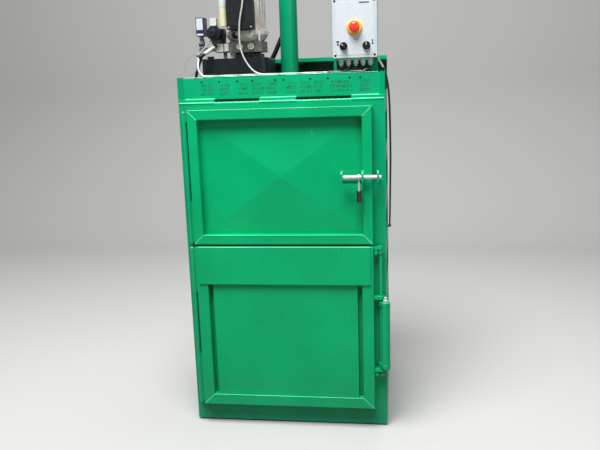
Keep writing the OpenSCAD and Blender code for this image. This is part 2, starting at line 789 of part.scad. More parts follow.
// Two crank plates with the thick tube between them and its through bolt
module lock_handle() {
    color(paint) difference() {
        union() {
            for (z = [lower_crank_z, upper_crank_z]) hull() {
                rod_z(shaft_x, shaft_y, z, z + crank_t, shaft_d / 2 + 5);
                rod_z(tube_x, tube_y, z, z + crank_t, handle_d / 2);
            }
            rod_z(tube_x, tube_y, lower_crank_z, upper_crank_z + crank_t, handle_d / 2);
            translate([tube_x, tube_y, upper_crank_z + crank_t - 1]) cylinder(r = 10.5, h = 10, $fn = 6);
            rod_z(tube_x, tube_y, upper_crank_z + crank_t, upper_crank_z + crank_t + 22, 6);
        }
        for (z = [lower_crank_z, upper_crank_z])
            rod_z(shaft_x, shaft_y, z - 1, z + crank_t + 1, shaft_d / 2 + fit);
    }
}

// Keeper of the slide bolt and hooked catches for the fingers, on the right post
module door_catches() {
    catch_x = door_r + 3;
    lip_y = shaft_y - finger_t / 2 - 9;
    color(paint) {
        lug(keeper_x, y_f);
        for (z = finger_z) {
            span([catch_x, lip_y, z - 1], [catch_x + 5, y_f, z + finger_h + 1]);
            span([catch_x, lip_y, z - 1], [catch_x + 13, lip_y + 6, z + finger_h + 1]);
        }
    }
}

// Press

module cylinder_tube() {
    color(paint) difference() {
        union() {
            span([-flange_w / 2, -flange_w / 2, top_z], [flange_w / 2, flange_w / 2, top_z + flange_t]);
            rod_z(0, 0, top_z, tube_top, cyl_d / 2);
            translate([0, 0, top_z + flange_t]) cylinder(r1 = cyl_d / 2 + 8, r2 = cyl_d / 2, h = 8);
        }
        rod_z(0, 0, top_z - 1, tube_top + 1, cyl_bore);
        for (x = [-1, 1], y = [-1, 1])
            rod_z(x * bolt_off, y * bolt_off, top_z - 1, top_z + flange_t + 1, flange_bolt_d / 2 + 0.5);
    }
}

module cylinder_gland() {
    plate_low = top_z - top_t;
    color(zinc) difference() {
        union() {
            rod_z(0, 0, plate_low, gland_top, cyl_bore - fit);
            rod_z(0, 0, plate_low - 12, plate_low, cyl_bore + 10);
        }
        rod_z(0, 0, plate_low - 13, gland_top + 1, rod_d / 2 + fit);
    }
}

module cylinder_cap() {
    color(paint) {
        rod_z(0, 0, tube_top, tube_top + cap_h, cyl_d / 2 + 6);
        rod_y(0, tube_top + cap_h / 2, cyl_d / 2, cyl_d / 2 + 22, 13);
    }
}

module flange_bolts() {
    head = flange_bolt_d * 0.65;
    color(zinc) for (x = [-1, 1], y = [-1, 1]) translate([x * bolt_off, y * bolt_off, 0]) rotate(30) {
        translate([0, 0, top_z + flange_t]) cylinder(r = flange_bolt_d * 0.85, h = head, $fn = 6);
        rod_z(0, 0, top_z - top_t - head, top_z + flange_t + 1, flange_bolt_d / 2);
        translate([0, 0, top_z - top_t - head]) cylinder(r = flange_bolt_d * 0.85, h = head, $fn = 6);
    }
}

module piston_rod() {
    color(zinc) {
        rod_z(0, 0, platen_h + platen_t, piston_z + 1, rod_d / 2);
        rod_z(0, 0, piston_z, piston_z + piston_h, cyl_bore - fit);
    }
}

// Pressing plate with strap grooves below, and ribs and the rod's boss above
module platen() {
    y0 = y_f + 8;
    y1 = ch_b - platen_gap;
    z1 = platen_h + platen_t;
    color(paint) difference() {
        union() {
            span([-platen_x, y0, platen_h], [platen_x, y1, z1]);
            for (x = [-platen_x, -190, -60, 50, 180, platen_x - 10])
                span([x, y0, z1 - 1], [x + 10, y1, platen_top]);
            for (y = [y0, -190, -60, 50, 150, y1 - 10])
                span([-platen_x, y, z1 - 1], [platen_x, y + 10, platen_top]);
            rod_z(0, 0, z1 - 1, boss_top, rod_d / 2 + 14);
        }
        rod_z(0, 0, z1, boss_top + 1, rod_d / 2 + fit);
        for (i = [-1 : 1])
            span([i * slot_pitch - slot_w / 2, y0 - 1, platen_h - 1],
                [i * slot_pitch + slot_w / 2, y1 + 1, platen_h + platen_t / 2]);
        for (s = [-1, 1])
            span([s > 0 ? platen_x - 10 : -platen_x - 1, ch_b - 32, platen_h - 1],
                [s > 0 ? platen_x + 1 : -platen_x + 10, ch_b, platen_top + 1]);
    }
}

// Power pack

module oil_tank() {
    color(black_plastic) {
        translate([tank_x, tank_y, top_z]) intersection() {
            linear_extrude(tank_h) round_rect(tank_w, tank_d, tank_r);
            translate([0, tank_d, 0]) rotate([90, 0, 0]) linear_extrude(tank_d) {
                round_rect(tank_w, tank_h, tank_r);
                translate([0, tank_h / 2]) round_rect(tank_w, tank_h / 2, 10);
            }
        }
        // Pressure outlet at the back
        rod_y(hose_start[0], hose_start[2], tank_y + tank_d - 4, hose_start[1], 13);
    }
}

module pump_body() {
    color(black_plastic) {
        span([motor_x - 47, motor_y - 62, tank_top], [motor_x + 61, motor_y + 62, block_z - 6]);
        rod_z(motor_x, motor_y, block_z - 7, block_z, 58);
    }
}

module valve_block() {
    plug_z = block_z + block_h / 2;
    plug_x = [motor_x - 21, motor_x + 28];
    low_y = motor_y - 70;
    color(cast) {
        difference() {
            span([motor_x - 69, low_y, block_z], [motor_x + 75, motor_y + 70, block_top]);
            for (x = plug_x) rod_y(x, plug_z, low_y - 1, low_y + 4, 17);
        }
        for (x = plug_x) difference() {
            rod_y(x, plug_z, low_y - 4, low_y + 4, 15);
            translate([x, low_y, plug_z]) rotate([90, 0, 0]) cylinder(r = 6, h = 10, $fn = 6);
        }
        // Side manifold with its post, the solenoid's seat and the switch's arm
        span([coil_x - 4, motor_y - 60, block_z + 3], [motor_x - 68, motor_y + 10, block_top - 6]);
        rod_z(coil_x + 36, motor_y - 40, tank_top, block_z + 4, 8);
        span([coil_x - 22, motor_y - 44, block_top - 7], [coil_x + 22, motor_y - 4, coil_z + 20]);
        span([coil_x - 80, motor_y - 42, block_z + 10], [coil_x - 2, motor_y - 18, block_z + 26]);
    }
}

module bell_flange() {
    color(cast) translate([motor_x, motor_y, block_top]) rotate_extrude()
        polygon([[0, 0], [70, 0], [78, 6], [92, bell_h - 16], [92, bell_h], [0, bell_h]]);
}

module motor_housing() {
    core = motor_d / 2 - 11;
    color(cast) translate([motor_x, motor_y, bell_top]) {
        linear_extrude(motor_h) {
            circle(core);
            for (i = [0 : motor_ribs - 1]) rotate(i * 360 / motor_ribs)
                translate([core - 2, -1.6]) square([13, 3.2]);
        }
        span([-64, -(motor_d / 2), 12], [44, -core + 14, 132]);
    }
}

module fan_cover() {
    r = motor_d / 2 + 3;
    color(black_plastic) translate([motor_x, motor_y, motor_top]) difference() {
        rotate_extrude()
            polygon([[0, 0], [r, 0], [r, fan_cover_h - 14], [r - 14, fan_cover_h], [0, fan_cover_h]]);
        for (q = [24, 36, 48, 60]) translate([0, 0, fan_cover_h - 4]) rotate_extrude()
            translate([q - 3, 0]) square([6, 5]);
    }
}

module terminal_box() {
    x0 = motor_x - 57;
    z0 = bell_top + 4;
    color(black_plastic) {
        translate([x0, motor_y - motor_d / 2, z0]) rotate([90, 0, 0]) linear_extrude(54)
            round_rect(110, 140, 5);
        rod_z(terminal_gland[0], terminal_gland[1], z0 + 139, terminal_gland[2], 10);
    }
}

module run_capacitor() {
    x = motor_x - 79;
    y = motor_y - 108;
    color([0.9, 0.88, 0.76]) {
        rod_z(x, y, bell_top + 18, bell_top + 134, 18);
        for (z = [30, 112]) span([x - 16, y, bell_top + z], [x + 21.7, y + 20, bell_top + z + 6]);
    }
}

module solenoid_coil() {
    y1 = motor_y - 44;
    color(black_plastic) {
        rod_y(coil_x, coil_z, y1 - 52, y1, coil_r);
        rod_y(coil_x, coil_z, y1 - 60, y1 - 51, 9);
        span([coil_x - 14, y1 - 46, coil_z + 20], [coil_x + 14, y1 - 14, coil_z + coil_r + 2]);
        span([coil_x + 22.3, y1 - 6, block_top - 5.7], [coil_x + 36, y1 + 36, coil_z + 20]);
    }
}

module coil_connector() {
    y1 = motor_y - 44;
    z0 = coil_z + coil_r + 2;
    color([0.92, 0.93, 0.92]) translate([coil_x - 14, y1 - 16, z0]) rotate([90, 0, 0]) linear_extrude(28)
        round_rect(28, 32, 3);
}

module pressure_switch() {
    x0 = coil_x - 78;
    y0 = motor_y - 84;
    z0 = block_z + 73;
    color([0.12, 0.16, 0.34]) {
        difference() {
            span([x0, y0, z0], [x0 + 34, y0 + 60, z0 + 78]);
            span([x0 + 2, y0 - 1, z0 + 26], [x0 + 31, y0 + 1, z0 + 75]);
        }
        rod_z(x0 + 8, y0 + 52, block_z + 26, z0 + 1, 7);
        translate([x0 + 8, y0 + 52, block_z + 34]) cylinder(r = 14, h = 20, $fn = 6);
    }
}

module hydraulic_hose() {
    color(black_plastic)
        swept_tube(route(concat([hose_start], hose_points, [hose_end + [0, 20, 0], hose_end]), 3),
            15, [1, 0, 0]);
}

// Control box

module box_shell(y0, y1) {
    along_y(y0, y1) translate([box_x0, box_z0]) round_rect(box_w, box_h, box_r);
}

module control_box() {
    color([0.86, 0.87, 0.86]) difference() {
        box_shell(box_y0 + cover_d, box_back);
        along_y(box_y0 + cover_d - 1, box_back - 4) translate([box_x0 + 4, box_z0 + 4])
            round_rect(box_w - 8, box_h - 8, box_r - 2);
    }
}

module control_box_cover() {
    color([0.88, 0.89, 0.88]) difference() {
        box_shell(box_y0, box_y0 + cover_d);
        along_y(box_y0 + 4, box_y0 + cover_d + 1) translate([box_x0 + 4, box_z0 + 4])
            round_rect(box_w - 8, box_h - 8, box_r - 2);
        for (x = [box_mid - 80, box_mid + 80], z = [box_z0 + 9, box_z0 + box_h - 9])
            rod_y(x, z, box_y0 - 1, box_y0 + 2, 5);
        rod_y(box_mid, estop_z, box_y0 - 1, box_y0 + 5, 11 + fit);
        for (x = knob_x) rod_y(x, knob_z, box_y0 - 1, box_y0 + 5, 8 + fit);
    }
}

module estop_collar() {
    color([0.95, 0.78, 0.1]) difference() {
        union() {
            rod_y(box_mid, estop_z, box_y0 - 8, box_y0, collar_d / 2);
            rod_y(box_mid, estop_z, box_y0 - 1, box_y0 + 30, 11);
        }
        rod_y(box_mid, estop_z, box_y0 - 9, box_y0 + 24, 7 + fit);
    }
}

module estop_button() {
    y1 = box_y0 - 8 - button_travel - 1;
    color([0.85, 0.12, 0.08]) {
        translate([box_mid, y1, estop_z]) rotate([90, 0, 0]) rotate_extrude()
            polygon([[0, 0], [12, 0], [button_d / 2, 6], [button_d / 2, 12], [button_d / 2 - 4, 17],
                [8, 19], [0, 19]]);
        rod_y(box_mid, estop_z, y1 - 1, box_y0 + 16, 7);
    }
}

// Knob with a raised grip bar, turned by an angle about its own axis
module selector(x, turn) {
    color(black_plastic) {
        rod_y(x, knob_z, box_y0 - 12, box_y0 - 0.5, knob_d / 2);
        rod_y(x, knob_z, box_y0 - 1, box_y0 + 14, 8);
        translate([x, box_y0 - 12, knob_z]) rotate([0, turn, 0])
            span([-4, -10, -knob_d / 2 + 1], [4, 1, knob_d / 2 - 1]);
    }
}

module left_selector() { selector(knob_x[0], -45); }

module right_selector() { selector(knob_x[1], 0); }

module cable_glands() {
    color([0.55, 0.56, 0.57]) {
        for (i = [0 : gland_count - 1]) translate([gland_x0 + i * gland_pitch, gland_y, box_z0]) {
            translate([0, 0, -9]) cylinder(r = 12, h = 9, $fn = 6);
            translate([0, 0, -gland_len]) cylinder(r1 = 7, r2 = 11, h = gland_len - 8);
        }
        translate([cord_exit[0], box_back, cord_exit[2]]) rotate([-90, 0, 0]) {
            cylinder(r = 12, h = 8, $fn = 6);
            translate([0, 0, 7]) cylinder(r1 = 11, r2 = 7, h = cord_exit[1] - box_back - 7);
        }
    }
}

// Two flat strips with feet that hold the box from behind
module box_bracket() {
    color(paint) for (b = [[-7, 6, 180], [150, 179, 9]]) {
        span([box_x0 + b[0], box_back, top_z], [box_x0 + b[1], box_back + 6, box_z0 + b[2]]);
        span([box_x0 + b[0], box_back + 5, top_z], [box_x0 + b[1], box_back + 50, top_z + 6]);
    }
}

// Points of a gland's tail: straight down, then to the left along its own row on the flange
function tail(i, r) = let (x = gland_x0 + i * gland_pitch, z = flange_top + r, g = box_z0 - gland_len)
    [[x, gland_y, g], [x, gland_y, g - 6], [x - 6, gland_y * 0.6 + tail_y[i] * 0.4, g - 14],
    [x - 21, tail_y[i], z + 2], [x - 44, tail_y[i], z]];

// The wide bundle runs left on the flange and rises to the lead of the valve; the thin tails drop
// through the grommets behind the header
module control_cables() {
    r = 5.5;
    lie = flange_top + r;
    color([0.9, 0.91, 0.9]) {
        swept_tube(route(concat(tail(gland_count - 1, r), [[0, tail_y[4], lie],
            [coil_x + 28, tail_y[4], lie + 0.3], [coil_x - 7, header_y + 9, lie + 5],
            [coil_x - 30, header_y + 15, lie + 22], [coil_x - 46, header_y + 25, lie + 40],
            [coil_x - 56, header_y + 38, tank_top - 14], [coil_x - 58, header_y + 50, tank_top + 16]]), 3),
            2 * r, [0, 1, 0]);
        swept_tube([[coil_x - 57, header_y + 46, tank_top + 6], [coil_x - 35, motor_y - 135, tank_top + 18],
            [coil_x + 6, motor_y - 67, tank_top + 57]], 13, [0, 1, 0]);
        for (i = [0 : gland_count - 3]) let (x = grommet_x[i], q = flange_top + 3.5)
            swept_tube(route(concat(tail(i, 3.5), [[x + 12, tail_y[i], q], [x, header_y + 45, q + 1],
                [x, header_y + 57, header_top - 10], [x, grommet_y, top_z + 37],
                [x, grommet_y, top_z - 4]]), 3),
                7, [0, 1, 0], 8);
    }
}

// White cable that climbs in front of the motor and turns over into the terminal box
module motor_cable() {
    i = gland_count - 2;
    q = flange_top + 4;
    front_y = motor_y - 152;
    color([0.93, 0.94, 0.93]) swept_tube(route(concat(tail(i, 4), [[motor_x + 168, tail_y[i], q],
        [motor_x + 108, header_y + 20, q + 2], [motor_x + 56, header_y + 32, q + 17], [motor_x + 16, front_y, q + 67],
        [motor_x - 2, front_y, block_z + 26], [motor_x, front_y, bell_top + 25],
        [motor_x + 16, front_y, bell_top + 105], [motor_x + 20, front_y + 4, bell_top + 160],
        [motor_x + 19, front_y + 17, bell_top + 187], [motor_x + 18, front_y + 34, bell_top + 185],
        terminal_gland + [0, 0, 8], terminal_gland]), 3), 8, [0, 1, 0]);
}

module mains_cord() {
    color(dark_steel) swept_tube(route(concat([cord_exit], cord_points), 2), cord_d, [1, 0, 0], 8);
}

module mains_coil() {
    color(dark_steel) {
        translate(coil_mid) rotate_extrude() translate([coil_in - cord_d / 2, 0])
            square([coil_out - coil_in + cord_d, coil_layers * cord_d]);
        rod_x(coil_mid[1] + tail_r, tail_z, coil_mid[0], plug_x, cord_d / 2);
    }
}

module mains_plug() {
    plug_w = 50;
    color(black_plastic) translate([plug_x, coil_mid[1] + tail_r - plug_w / 2, 0]) {
        linear_extrude(24) round_rect(48, plug_w, 8);
        for (p = [[20, 8, 6], [4, 6, 10], [38, 6, 10]])
            span([p[0], -20, p[2]], [p[0] + p[1], 1, p[2] + 4]);
    }
}

base_plate();
floor_pan();
left_side_wall();
right_side_wall();
rear_wall();
left_post();
right_post();
header_panel();
top_plate();
rear_cowl();
bale_hooks();
fixed_knuckles();
hinge_pins();
door_catches();
platen_guides();
cylinder_tube();
cylinder_gland();
cylinder_cap();
flange_bolts();
oil_tank();
pump_body();
valve_block();
bell_flange();
motor_housing();
fan_cover();
terminal_box();
run_capacitor();
solenoid_coil();
coil_connector();
pressure_switch();
hydraulic_hose();
control_box();
control_box_cover();
estop_collar();
cable_glands();
box_bracket();
control_cables();
motor_cable();
mains_cord();
mains_coil();
mains_plug();
upper_door_frame();
upper_door_panel();
upper_door_knuckles();
bolt_bracket();
bolt_rod();
bolt_handle();
bolt_grip();
lower_door_frame();
lower_door_panel();
band_plate();
lower_door_knuckles();
lock_brackets();
lock_shaft();
lock_handle();
platen();
piston_rod();
estop_button();
left_selector();
right_selector();
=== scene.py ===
"""Looks of the upright recycling baler: finishes, welds, fasteners, cables and the studio around it."""

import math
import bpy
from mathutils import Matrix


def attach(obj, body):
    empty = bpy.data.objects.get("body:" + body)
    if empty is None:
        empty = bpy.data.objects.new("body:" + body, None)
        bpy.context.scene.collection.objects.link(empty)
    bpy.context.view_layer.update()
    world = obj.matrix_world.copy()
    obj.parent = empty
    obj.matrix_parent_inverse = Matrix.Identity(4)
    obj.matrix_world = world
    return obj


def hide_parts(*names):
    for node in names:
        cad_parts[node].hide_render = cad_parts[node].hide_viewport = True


bl_info = {
    "name": "Recycling baler looks",
    "version": (1, 0, 0),
    "blender": (4, 5, 0),
    "location": "View3D > Sidebar > Baler",
    "description": "Dresses a packed recycling baler: paint, metals, plastics, welds, cables and a studio",
    "category": "Object",
}

import bpy
import numpy as np
from mathutils import Matrix

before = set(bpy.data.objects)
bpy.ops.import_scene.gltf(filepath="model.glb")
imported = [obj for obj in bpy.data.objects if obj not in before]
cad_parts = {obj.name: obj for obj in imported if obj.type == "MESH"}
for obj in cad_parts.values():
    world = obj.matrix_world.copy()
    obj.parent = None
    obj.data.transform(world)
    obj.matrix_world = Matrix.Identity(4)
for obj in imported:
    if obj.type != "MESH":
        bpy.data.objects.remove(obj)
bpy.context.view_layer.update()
MM = 0.001
FRONT, BACK, UP, DOWN = (0, -1, 0), (0, 1, 0), (0, 0, 1), (0, 0, -1)

# Places shared with the part, in millimetres: the cabinet, its header, its doors and the lock's handle
SIDE_X, REAR_Y, TOP_Z = 435, 325, 1475
LIP_Z, HOOK_Z = TOP_Z + 139, TOP_Z - 692
POST_FACE, LINTEL_TOP = -325, 1447
HEADER_FACE, FLANGE_TOP = -300, 1551.2
HEADER_HOLES = (-336, -260, -181, -117, -20, 15, 128, 201, 291, 335)
TABS = ((-433, -280), (-87, 69), (297, 433))
DOOR_L, DOOR_R, DOOR_FACE = -391, 383, -370
UPPER_DOOR, LOWER_DOOR = (844, 1420), (98, 835)
HANDLE_X, HANDLE_Y = 432, -370

# The power pack, the control box with its cable tails, and the coil of the mains cord
MOTOR = np.array([-168.0, -110.0])
SOLENOID_X, SOLENOID_Z = -298, 1740
TANK_TOP, BLOCK_Z, BELL_TOP = 1633, 1657, 1745
BOX_MID, BOX_Y, BOX_Z = 315, -305, 1613
GLAND_X, GLAND_PITCH, GLAND_Y, GLAND_LOW = 255, 30, -263, 1580
TAIL_Y = (-261, -268.5, -276.2, -285, -294.8)
COIL_X, COIL_Y = 262, 404

# Finish, body and record slot of the small parts that are made most
BLACK_PART = ("black_nylon", "cabinet", "black_plastic")
WHITE_PART = ("white_nylon", "cabinet", "white_plastic")
FINISH = {}


# Colours and nodes

def linear(hex_code):
    """sRGB hex colour to linear: each channel is c/12.92 below 0.04045, else ((c+0.055)/1.055)^2.4."""
    channels = [int(hex_code[i:i + 2], 16) / 255 for i in (0, 2, 4)]
    return tuple(c / 12.92 if c <= 0.04045 else ((c + 0.055) / 1.055) ** 2.4 for c in channels) + (1.0,)


def add_node(tree, kind, settings=None, inputs=None):
    """Adds one node: settings are its properties, inputs its values or the sockets that feed it."""
    made = tree.nodes.new(kind)
    for name, value in (settings or {}).items():
        setattr(made, name, value)
    for name, value in (inputs or {}).items():
        if isinstance(value, bpy.types.NodeSocket):
            tree.links.new(value, made.inputs[name])
        else:
            made.inputs[name].default_value = value
    return made


def feed(tree, shader, name, socket):
    """Links a socket to the shader's input of that name."""
    tree.links.new(socket, shader.inputs[name])


def new_material(name, colour, roughness, metallic=0.0, **more):
    """A material with one Principled shader, kept in FINISH by its name; underscores in the names
    of more stand for spaces."""
    material = FINISH[name] = bpy.data.materials.new(name)
    material.use_nodes = True
    tree = material.node_tree
    tree.nodes.clear()
    inputs = {"Base Color": linear(colour), "Roughness": roughness, "Metallic": metallic,
              **{key.replace("_", " "): value for key, value in more.items()}}
    shader = add_node(tree, "ShaderNodeBsdfPrincipled", inputs=inputs)
    add_node(tree, "ShaderNodeOutputMaterial", inputs={"Surface": shader.outputs[0]})
    return material, tree, shader


def object_place(tree):
    """Object coordinates, which are also places in the frame, because every object is at the origin."""
    return add_node(tree, "ShaderNodeTexCoord").outputs["Object"]


def object_xyz(tree):
    """The X, Y and Z of the Object coordinates."""
    return add_node(tree, "ShaderNodeSeparateXYZ", inputs={0: object_place(tree)}).outputs


def noise(tree, size_mm, detail=3.0, stretch=(1, 1, 1)):
    """Noise on Object coordinates whose features are about size_mm wide, drawn out by stretch."""
    mapped = add_node(tree, "ShaderNodeMapping", inputs={
        "Vector": object_place(tree), "Scale": tuple(1 / s for s in stretch)}).outputs[0]
    return add_node(tree, "ShaderNodeTexNoise", inputs={
        "Vector": mapped, "Scale": 1000 / size_mm, "Detail": detail}).outputs["Fac"]


def blend(tree, factor, first, second):
    """Mixes two colours, each a hex code, a linear colour or a socket, by a factor socket or value."""
    mixed = add_node(tree, "ShaderNodeMix", {"data_type": "RGBA"})
    for place, value in ((0, factor), (6, first), (7, second)):
        value = linear(value) if isinstance(value, str) else value
        if isinstance(value, bpy.types.NodeSocket):
            tree.links.new(value, mixed.inputs[place])
        else:
            mixed.inputs[place].default_value = value
    return mixed.outputs[2]


def spread(tree, factor, low, high, to_low=0.0, to_high=1.0):
    """Maps a factor from low..high to to_low..to_high and clamps it."""
    return add_node(tree, "ShaderNodeMapRange", inputs={
        "Value": factor, "From Min": low, "From Max": high, "To Min": to_low, "To Max": to_high}).outputs[0]


def maths(tree, operation, *values):
    """Result of one operation on values or sockets."""
    return add_node(tree, "ShaderNodeMath", {"operation": operation}, dict(enumerate(values))).outputs[0]


def seen_rays(tree):
    """One for a ray from the camera, off a glossy surface or through glass, and zero for the rest."""
    rays = add_node(tree, "ShaderNodeLightPath").outputs
    reflected = maths(tree, "MAXIMUM", rays["Is Camera Ray"], rays["Is Glossy Ray"])
    return maths(tree, "MAXIMUM", reflected, rays["Is Transmission Ray"])


def soft_edge(tree, radius_mm):
    """Normal that turns smoothly over sharp edges, as folded and cast edges do."""
    return add_node(tree, "ShaderNodeBevel", {"samples": 6}, {"Radius": radius_mm * MM}).outputs[0]


def bump(tree, shader, height, depth_mm, under=None):
    """Feeds the shader's normal from a height socket, depth_mm deep, over another normal."""
    inputs = {"Height": height, "Distance": depth_mm * MM}
    if under is not None:
        inputs["Normal"] = under
    normal = add_node(tree, "ShaderNodeBump", inputs=inputs).outputs[0]
    feed(tree, shader, "Normal", normal)
    return normal


# Finishes, each from what the real one is and how its surface was made

def enamel(name, colour, dark, worn, dusty):
    """Sprayed gloss enamel on folded steel: orange peel 4 mm wide, slow drifts in tone, fine scuffs."""
    material, tree, shader = new_material(name, colour, 0.3, Coat_Weight=0.1, Coat_Roughness=0.08,
                                          Specular_IOR_Level=0.14)
    tone = blend(tree, spread(tree, noise(tree, 260, 2), 0.35, 0.7), colour, dark)
    scuff = spread(tree, noise(tree, 9, 5, (1, 1, 9)), 0.66, 0.72)
    patch = spread(tree, noise(tree, 120, 2), 0.52, 0.62)
    fine = maths(tree, "MULTIPLY", scuff, patch)
    tone = blend(tree, spread(tree, fine, 0, 1, 0, 0.35), tone, worn)
    # Dust that thins out over the lowest 0.3 m
    low = spread(tree, object_xyz(tree)["Z"], 0.0, 0.30, dusty, 0.0)
    grime = maths(tree, "MULTIPLY", low, spread(tree, noise(tree, 35, 5), 0.3, 0.7))
    feed(tree, shader, "Base Color", blend(tree, grime, tone, "4a5a4c"))
    feed(tree, shader, "Roughness", spread(tree, noise(tree, 60, 4), 0.3, 0.7, 0.28, 0.42))
    # The peel lies on sheets that are slightly wavy, 170 mm from wave to wave
    peel = bump(tree, shader, noise(tree, 4, 1), 0.04, soft_edge(tree, 2.2))
    bump(tree, shader, noise(tree, 170, 1), 0.9, peel)
    return material


def paint_recess_shade(material, colour):
    """Paints shade into an enamel where a sheet faces inwards: short of the cabinet's outer planes in X
    and Y, and below the cowl's folded lip. The dark colour there is painted shade for the deep recess."""
    tree = material.node_tree
    shader = next(n for n in tree.nodes if n.type == "BSDF_PRINCIPLED")
    painted = shader.inputs["Base Color"].links[0].from_socket
    where = object_xyz(tree)
    inner = maths(tree, "LESS_THAN", maths(tree, "ABSOLUTE", where["X"]), (SIDE_X - 1) * MM)
    front = maths(tree, "LESS_THAN", where["Y"], (REAR_Y - 1) * MM)
    under = maths(tree, "LESS_THAN", where["Z"], LIP_Z * MM)
    every = maths(tree, "MULTIPLY", maths(tree, "MULTIPLY", inner, front), under)
    feed(tree, shader, "Base Color", blend(tree, every, painted, colour))


def metal(name, colour, dark, roughness, grain_mm, depth_mm, stretch=(1, 1, 1), metallic=1.0):
    """Bare or plated metal: tone and roughness drift over 30 mm, and a grain of its own size."""
    tree, shader = new_material(name, colour, roughness, metallic)[1:]
    drift = noise(tree, 30, 4)
    feed(tree, shader, "Base Color", blend(tree, spread(tree, drift, 0.35, 0.7), colour, dark))
    feed(tree, shader, "Roughness", spread(tree, drift, 0.3, 0.7, roughness - 0.07, roughness + 0.1))
    bump(tree, shader, noise(tree, grain_mm, 3, stretch), depth_mm, soft_edge(tree, 0.8))


def moulded(name, colour, dark, roughness, grain_mm=1.5, depth_mm=0.04, **more):
    """Moulded or extruded plastic or rubber: fine even grain, and faint handling marks 20 mm wide."""
    tree, shader = new_material(name, colour, roughness, **more)[1:]
    marks = noise(tree, 20, 4)
    feed(tree, shader, "Base Color", blend(tree, spread(tree, marks, 0.4, 0.75), colour, dark))
    feed(tree, shader, "Roughness", spread(tree, marks, 0.3, 0.7, roughness - 0.06, roughness + 0.08))
    bump(tree, shader, noise(tree, grain_mm, 2), depth_mm, soft_edge(tree, 1.0))


def make_finishes():
    """Makes every finish; new_material keeps each by its name."""
    # Gloss enamel sprayed on the cabinet's folded sheets; it gathers dust near the floor
    enamel("cabinet_enamel", "00a872", "009b69", "48d09a", 0.4)
    enamel("door_enamel", "00ae70", "00a167", "50d8a0", 0.3)
    # The cylinder's coat is a shade deeper
    enamel("tube_enamel", "009165", "00875d", "3fc894", 0.0)
    # The press plate and the cowl behind it: inside the cabinet their enamel turns near black green, a
    # painted shade of the recess
    paint_recess_shade(enamel("recess_shaded_enamel", "00a872", "009b69", "48d09a", 0.0), "033826")
    # Enamel over weld beads and edge strips, painted pale mint: a painted highlight for the light they catch
    enamel("weld_highlight_enamel", "6cf0bc", "52e0aa", "a4f6d6", 0.2)
    # Bright zinc plate, with a slightly cloudy passivation
    metal("zinc_plate", "d4d4d3", "b4b5b6", 0.38, 1.2, 0.02, metallic=0.25)
    # Hard chrome, ground along the rod
    metal("hard_chrome", "e4e5e6", "d4d6d8", 0.16, 0.8, 0.004, (9, 9, 1))
    # Gravity-cast aluminium keeps the grain of its mould
    metal("cast_aluminium", "d2cfc9", "b6b3ad", 0.5, 2.2, 0.1, metallic=0.12)
    # The same casting lower down, painted paler and pinker than it is: painted light against the shade under
    # the motor and the green cast from the paint
    metal("casting_painted_paler", "e2dad4", "bfb8b2", 0.55, 2.2, 0.12, metallic=0.0)
    # Milled aluminium of the valve block, darkened by oil
    metal("milled_aluminium", "807e77", "5d5b54", 0.45, 0.9, 0.03, (8, 1, 1), 0.12)
    # Aluminium of the small ported blocks and the cast details, painted near white: painted light against the
    # shade under the motor
    metal("aluminium_painted_paler", "f0eee8", "d4d2cc", 0.35, 1.1, 0.03, metallic=0.3)
    # Black enamel on the base plate
    moulded("base_enamel", "1d2020", "2b2e2d", 0.5, 3, 0.06)
    # Rotationally moulded polyethylene, slightly waxy
    moulded("tank_polyethylene", "12171c", "192026", 0.42, 5, 0.12, Specular_IOR_Level=0.3)
    # Injection-moulded glass-filled nylon
    moulded("black_nylon", "0d1015", "161b21", 0.45, Specular_IOR_Level=0.3)
    # The capacitor's moulded case, cream and half matt
    moulded("cream_case", "d8d2ae", "cbc49e", 0.4, 2, 0.03)
    # The control box's polycarbonate, pale blue-grey with a satin sheen
    moulded("pale_polycarbonate", "c4cdd5", "bbc5ce", 0.33, 1.2, 0.03)
    # Nylon without dye: greyer in the glands, warm white in connectors and sleeves
    moulded("gland_nylon", "dde4e2", "c4cdca", 0.35)
    moulded("white_nylon", "d2d2ce", "c2c3be", 0.4)
    # Soft PVC sheaths, a little dull with dust
    moulded("white_pvc", "c2c7c5", "aab0ad", 0.38, 3, 0.05)
    moulded("grey_sheath", "7f8887", "6b7473", 0.4, 3, 0.05)
    # Dyed nylon: strong even colours, and the stop's button is polished by hands
    moulded("yellow_nylon", "f9c545", "f3b52e", 0.34)
    moulded("red_nylon", "ee3a2c", "de2c22", 0.28, Coat_Weight=0.2)
    moulded("blue_nylon", "1c2450", "151b3d", 0.4)
    # Smooth thin film, and the matt inks that are printed on steel and on film
    moulded("label_film", "cdd4da", "c6cdd4", 0.3, 4, 0.02)
    moulded("ink", "035c43", "056a4b", 0.5, 2, 0.01)
    moulded("black_ink", "1a1c20", "24262a", 0.45, 2, 0.01)
    # Smooth nitrile cover over a wire braid that shows as a faint weave
    moulded("hose_nitrile", "0e1012", "1a1c1e", 0.55, 2.5, 0.12)
    # The cord's rubber shines a little along its bends, and the dipped grip is duller
    moulded("cord_rubber", "22272a", "30363a", 0.32, 3, 0.06)
    moulded("grip_vinyl", "0d0e10", "191a1c", 0.5, 1.6, 0.08)


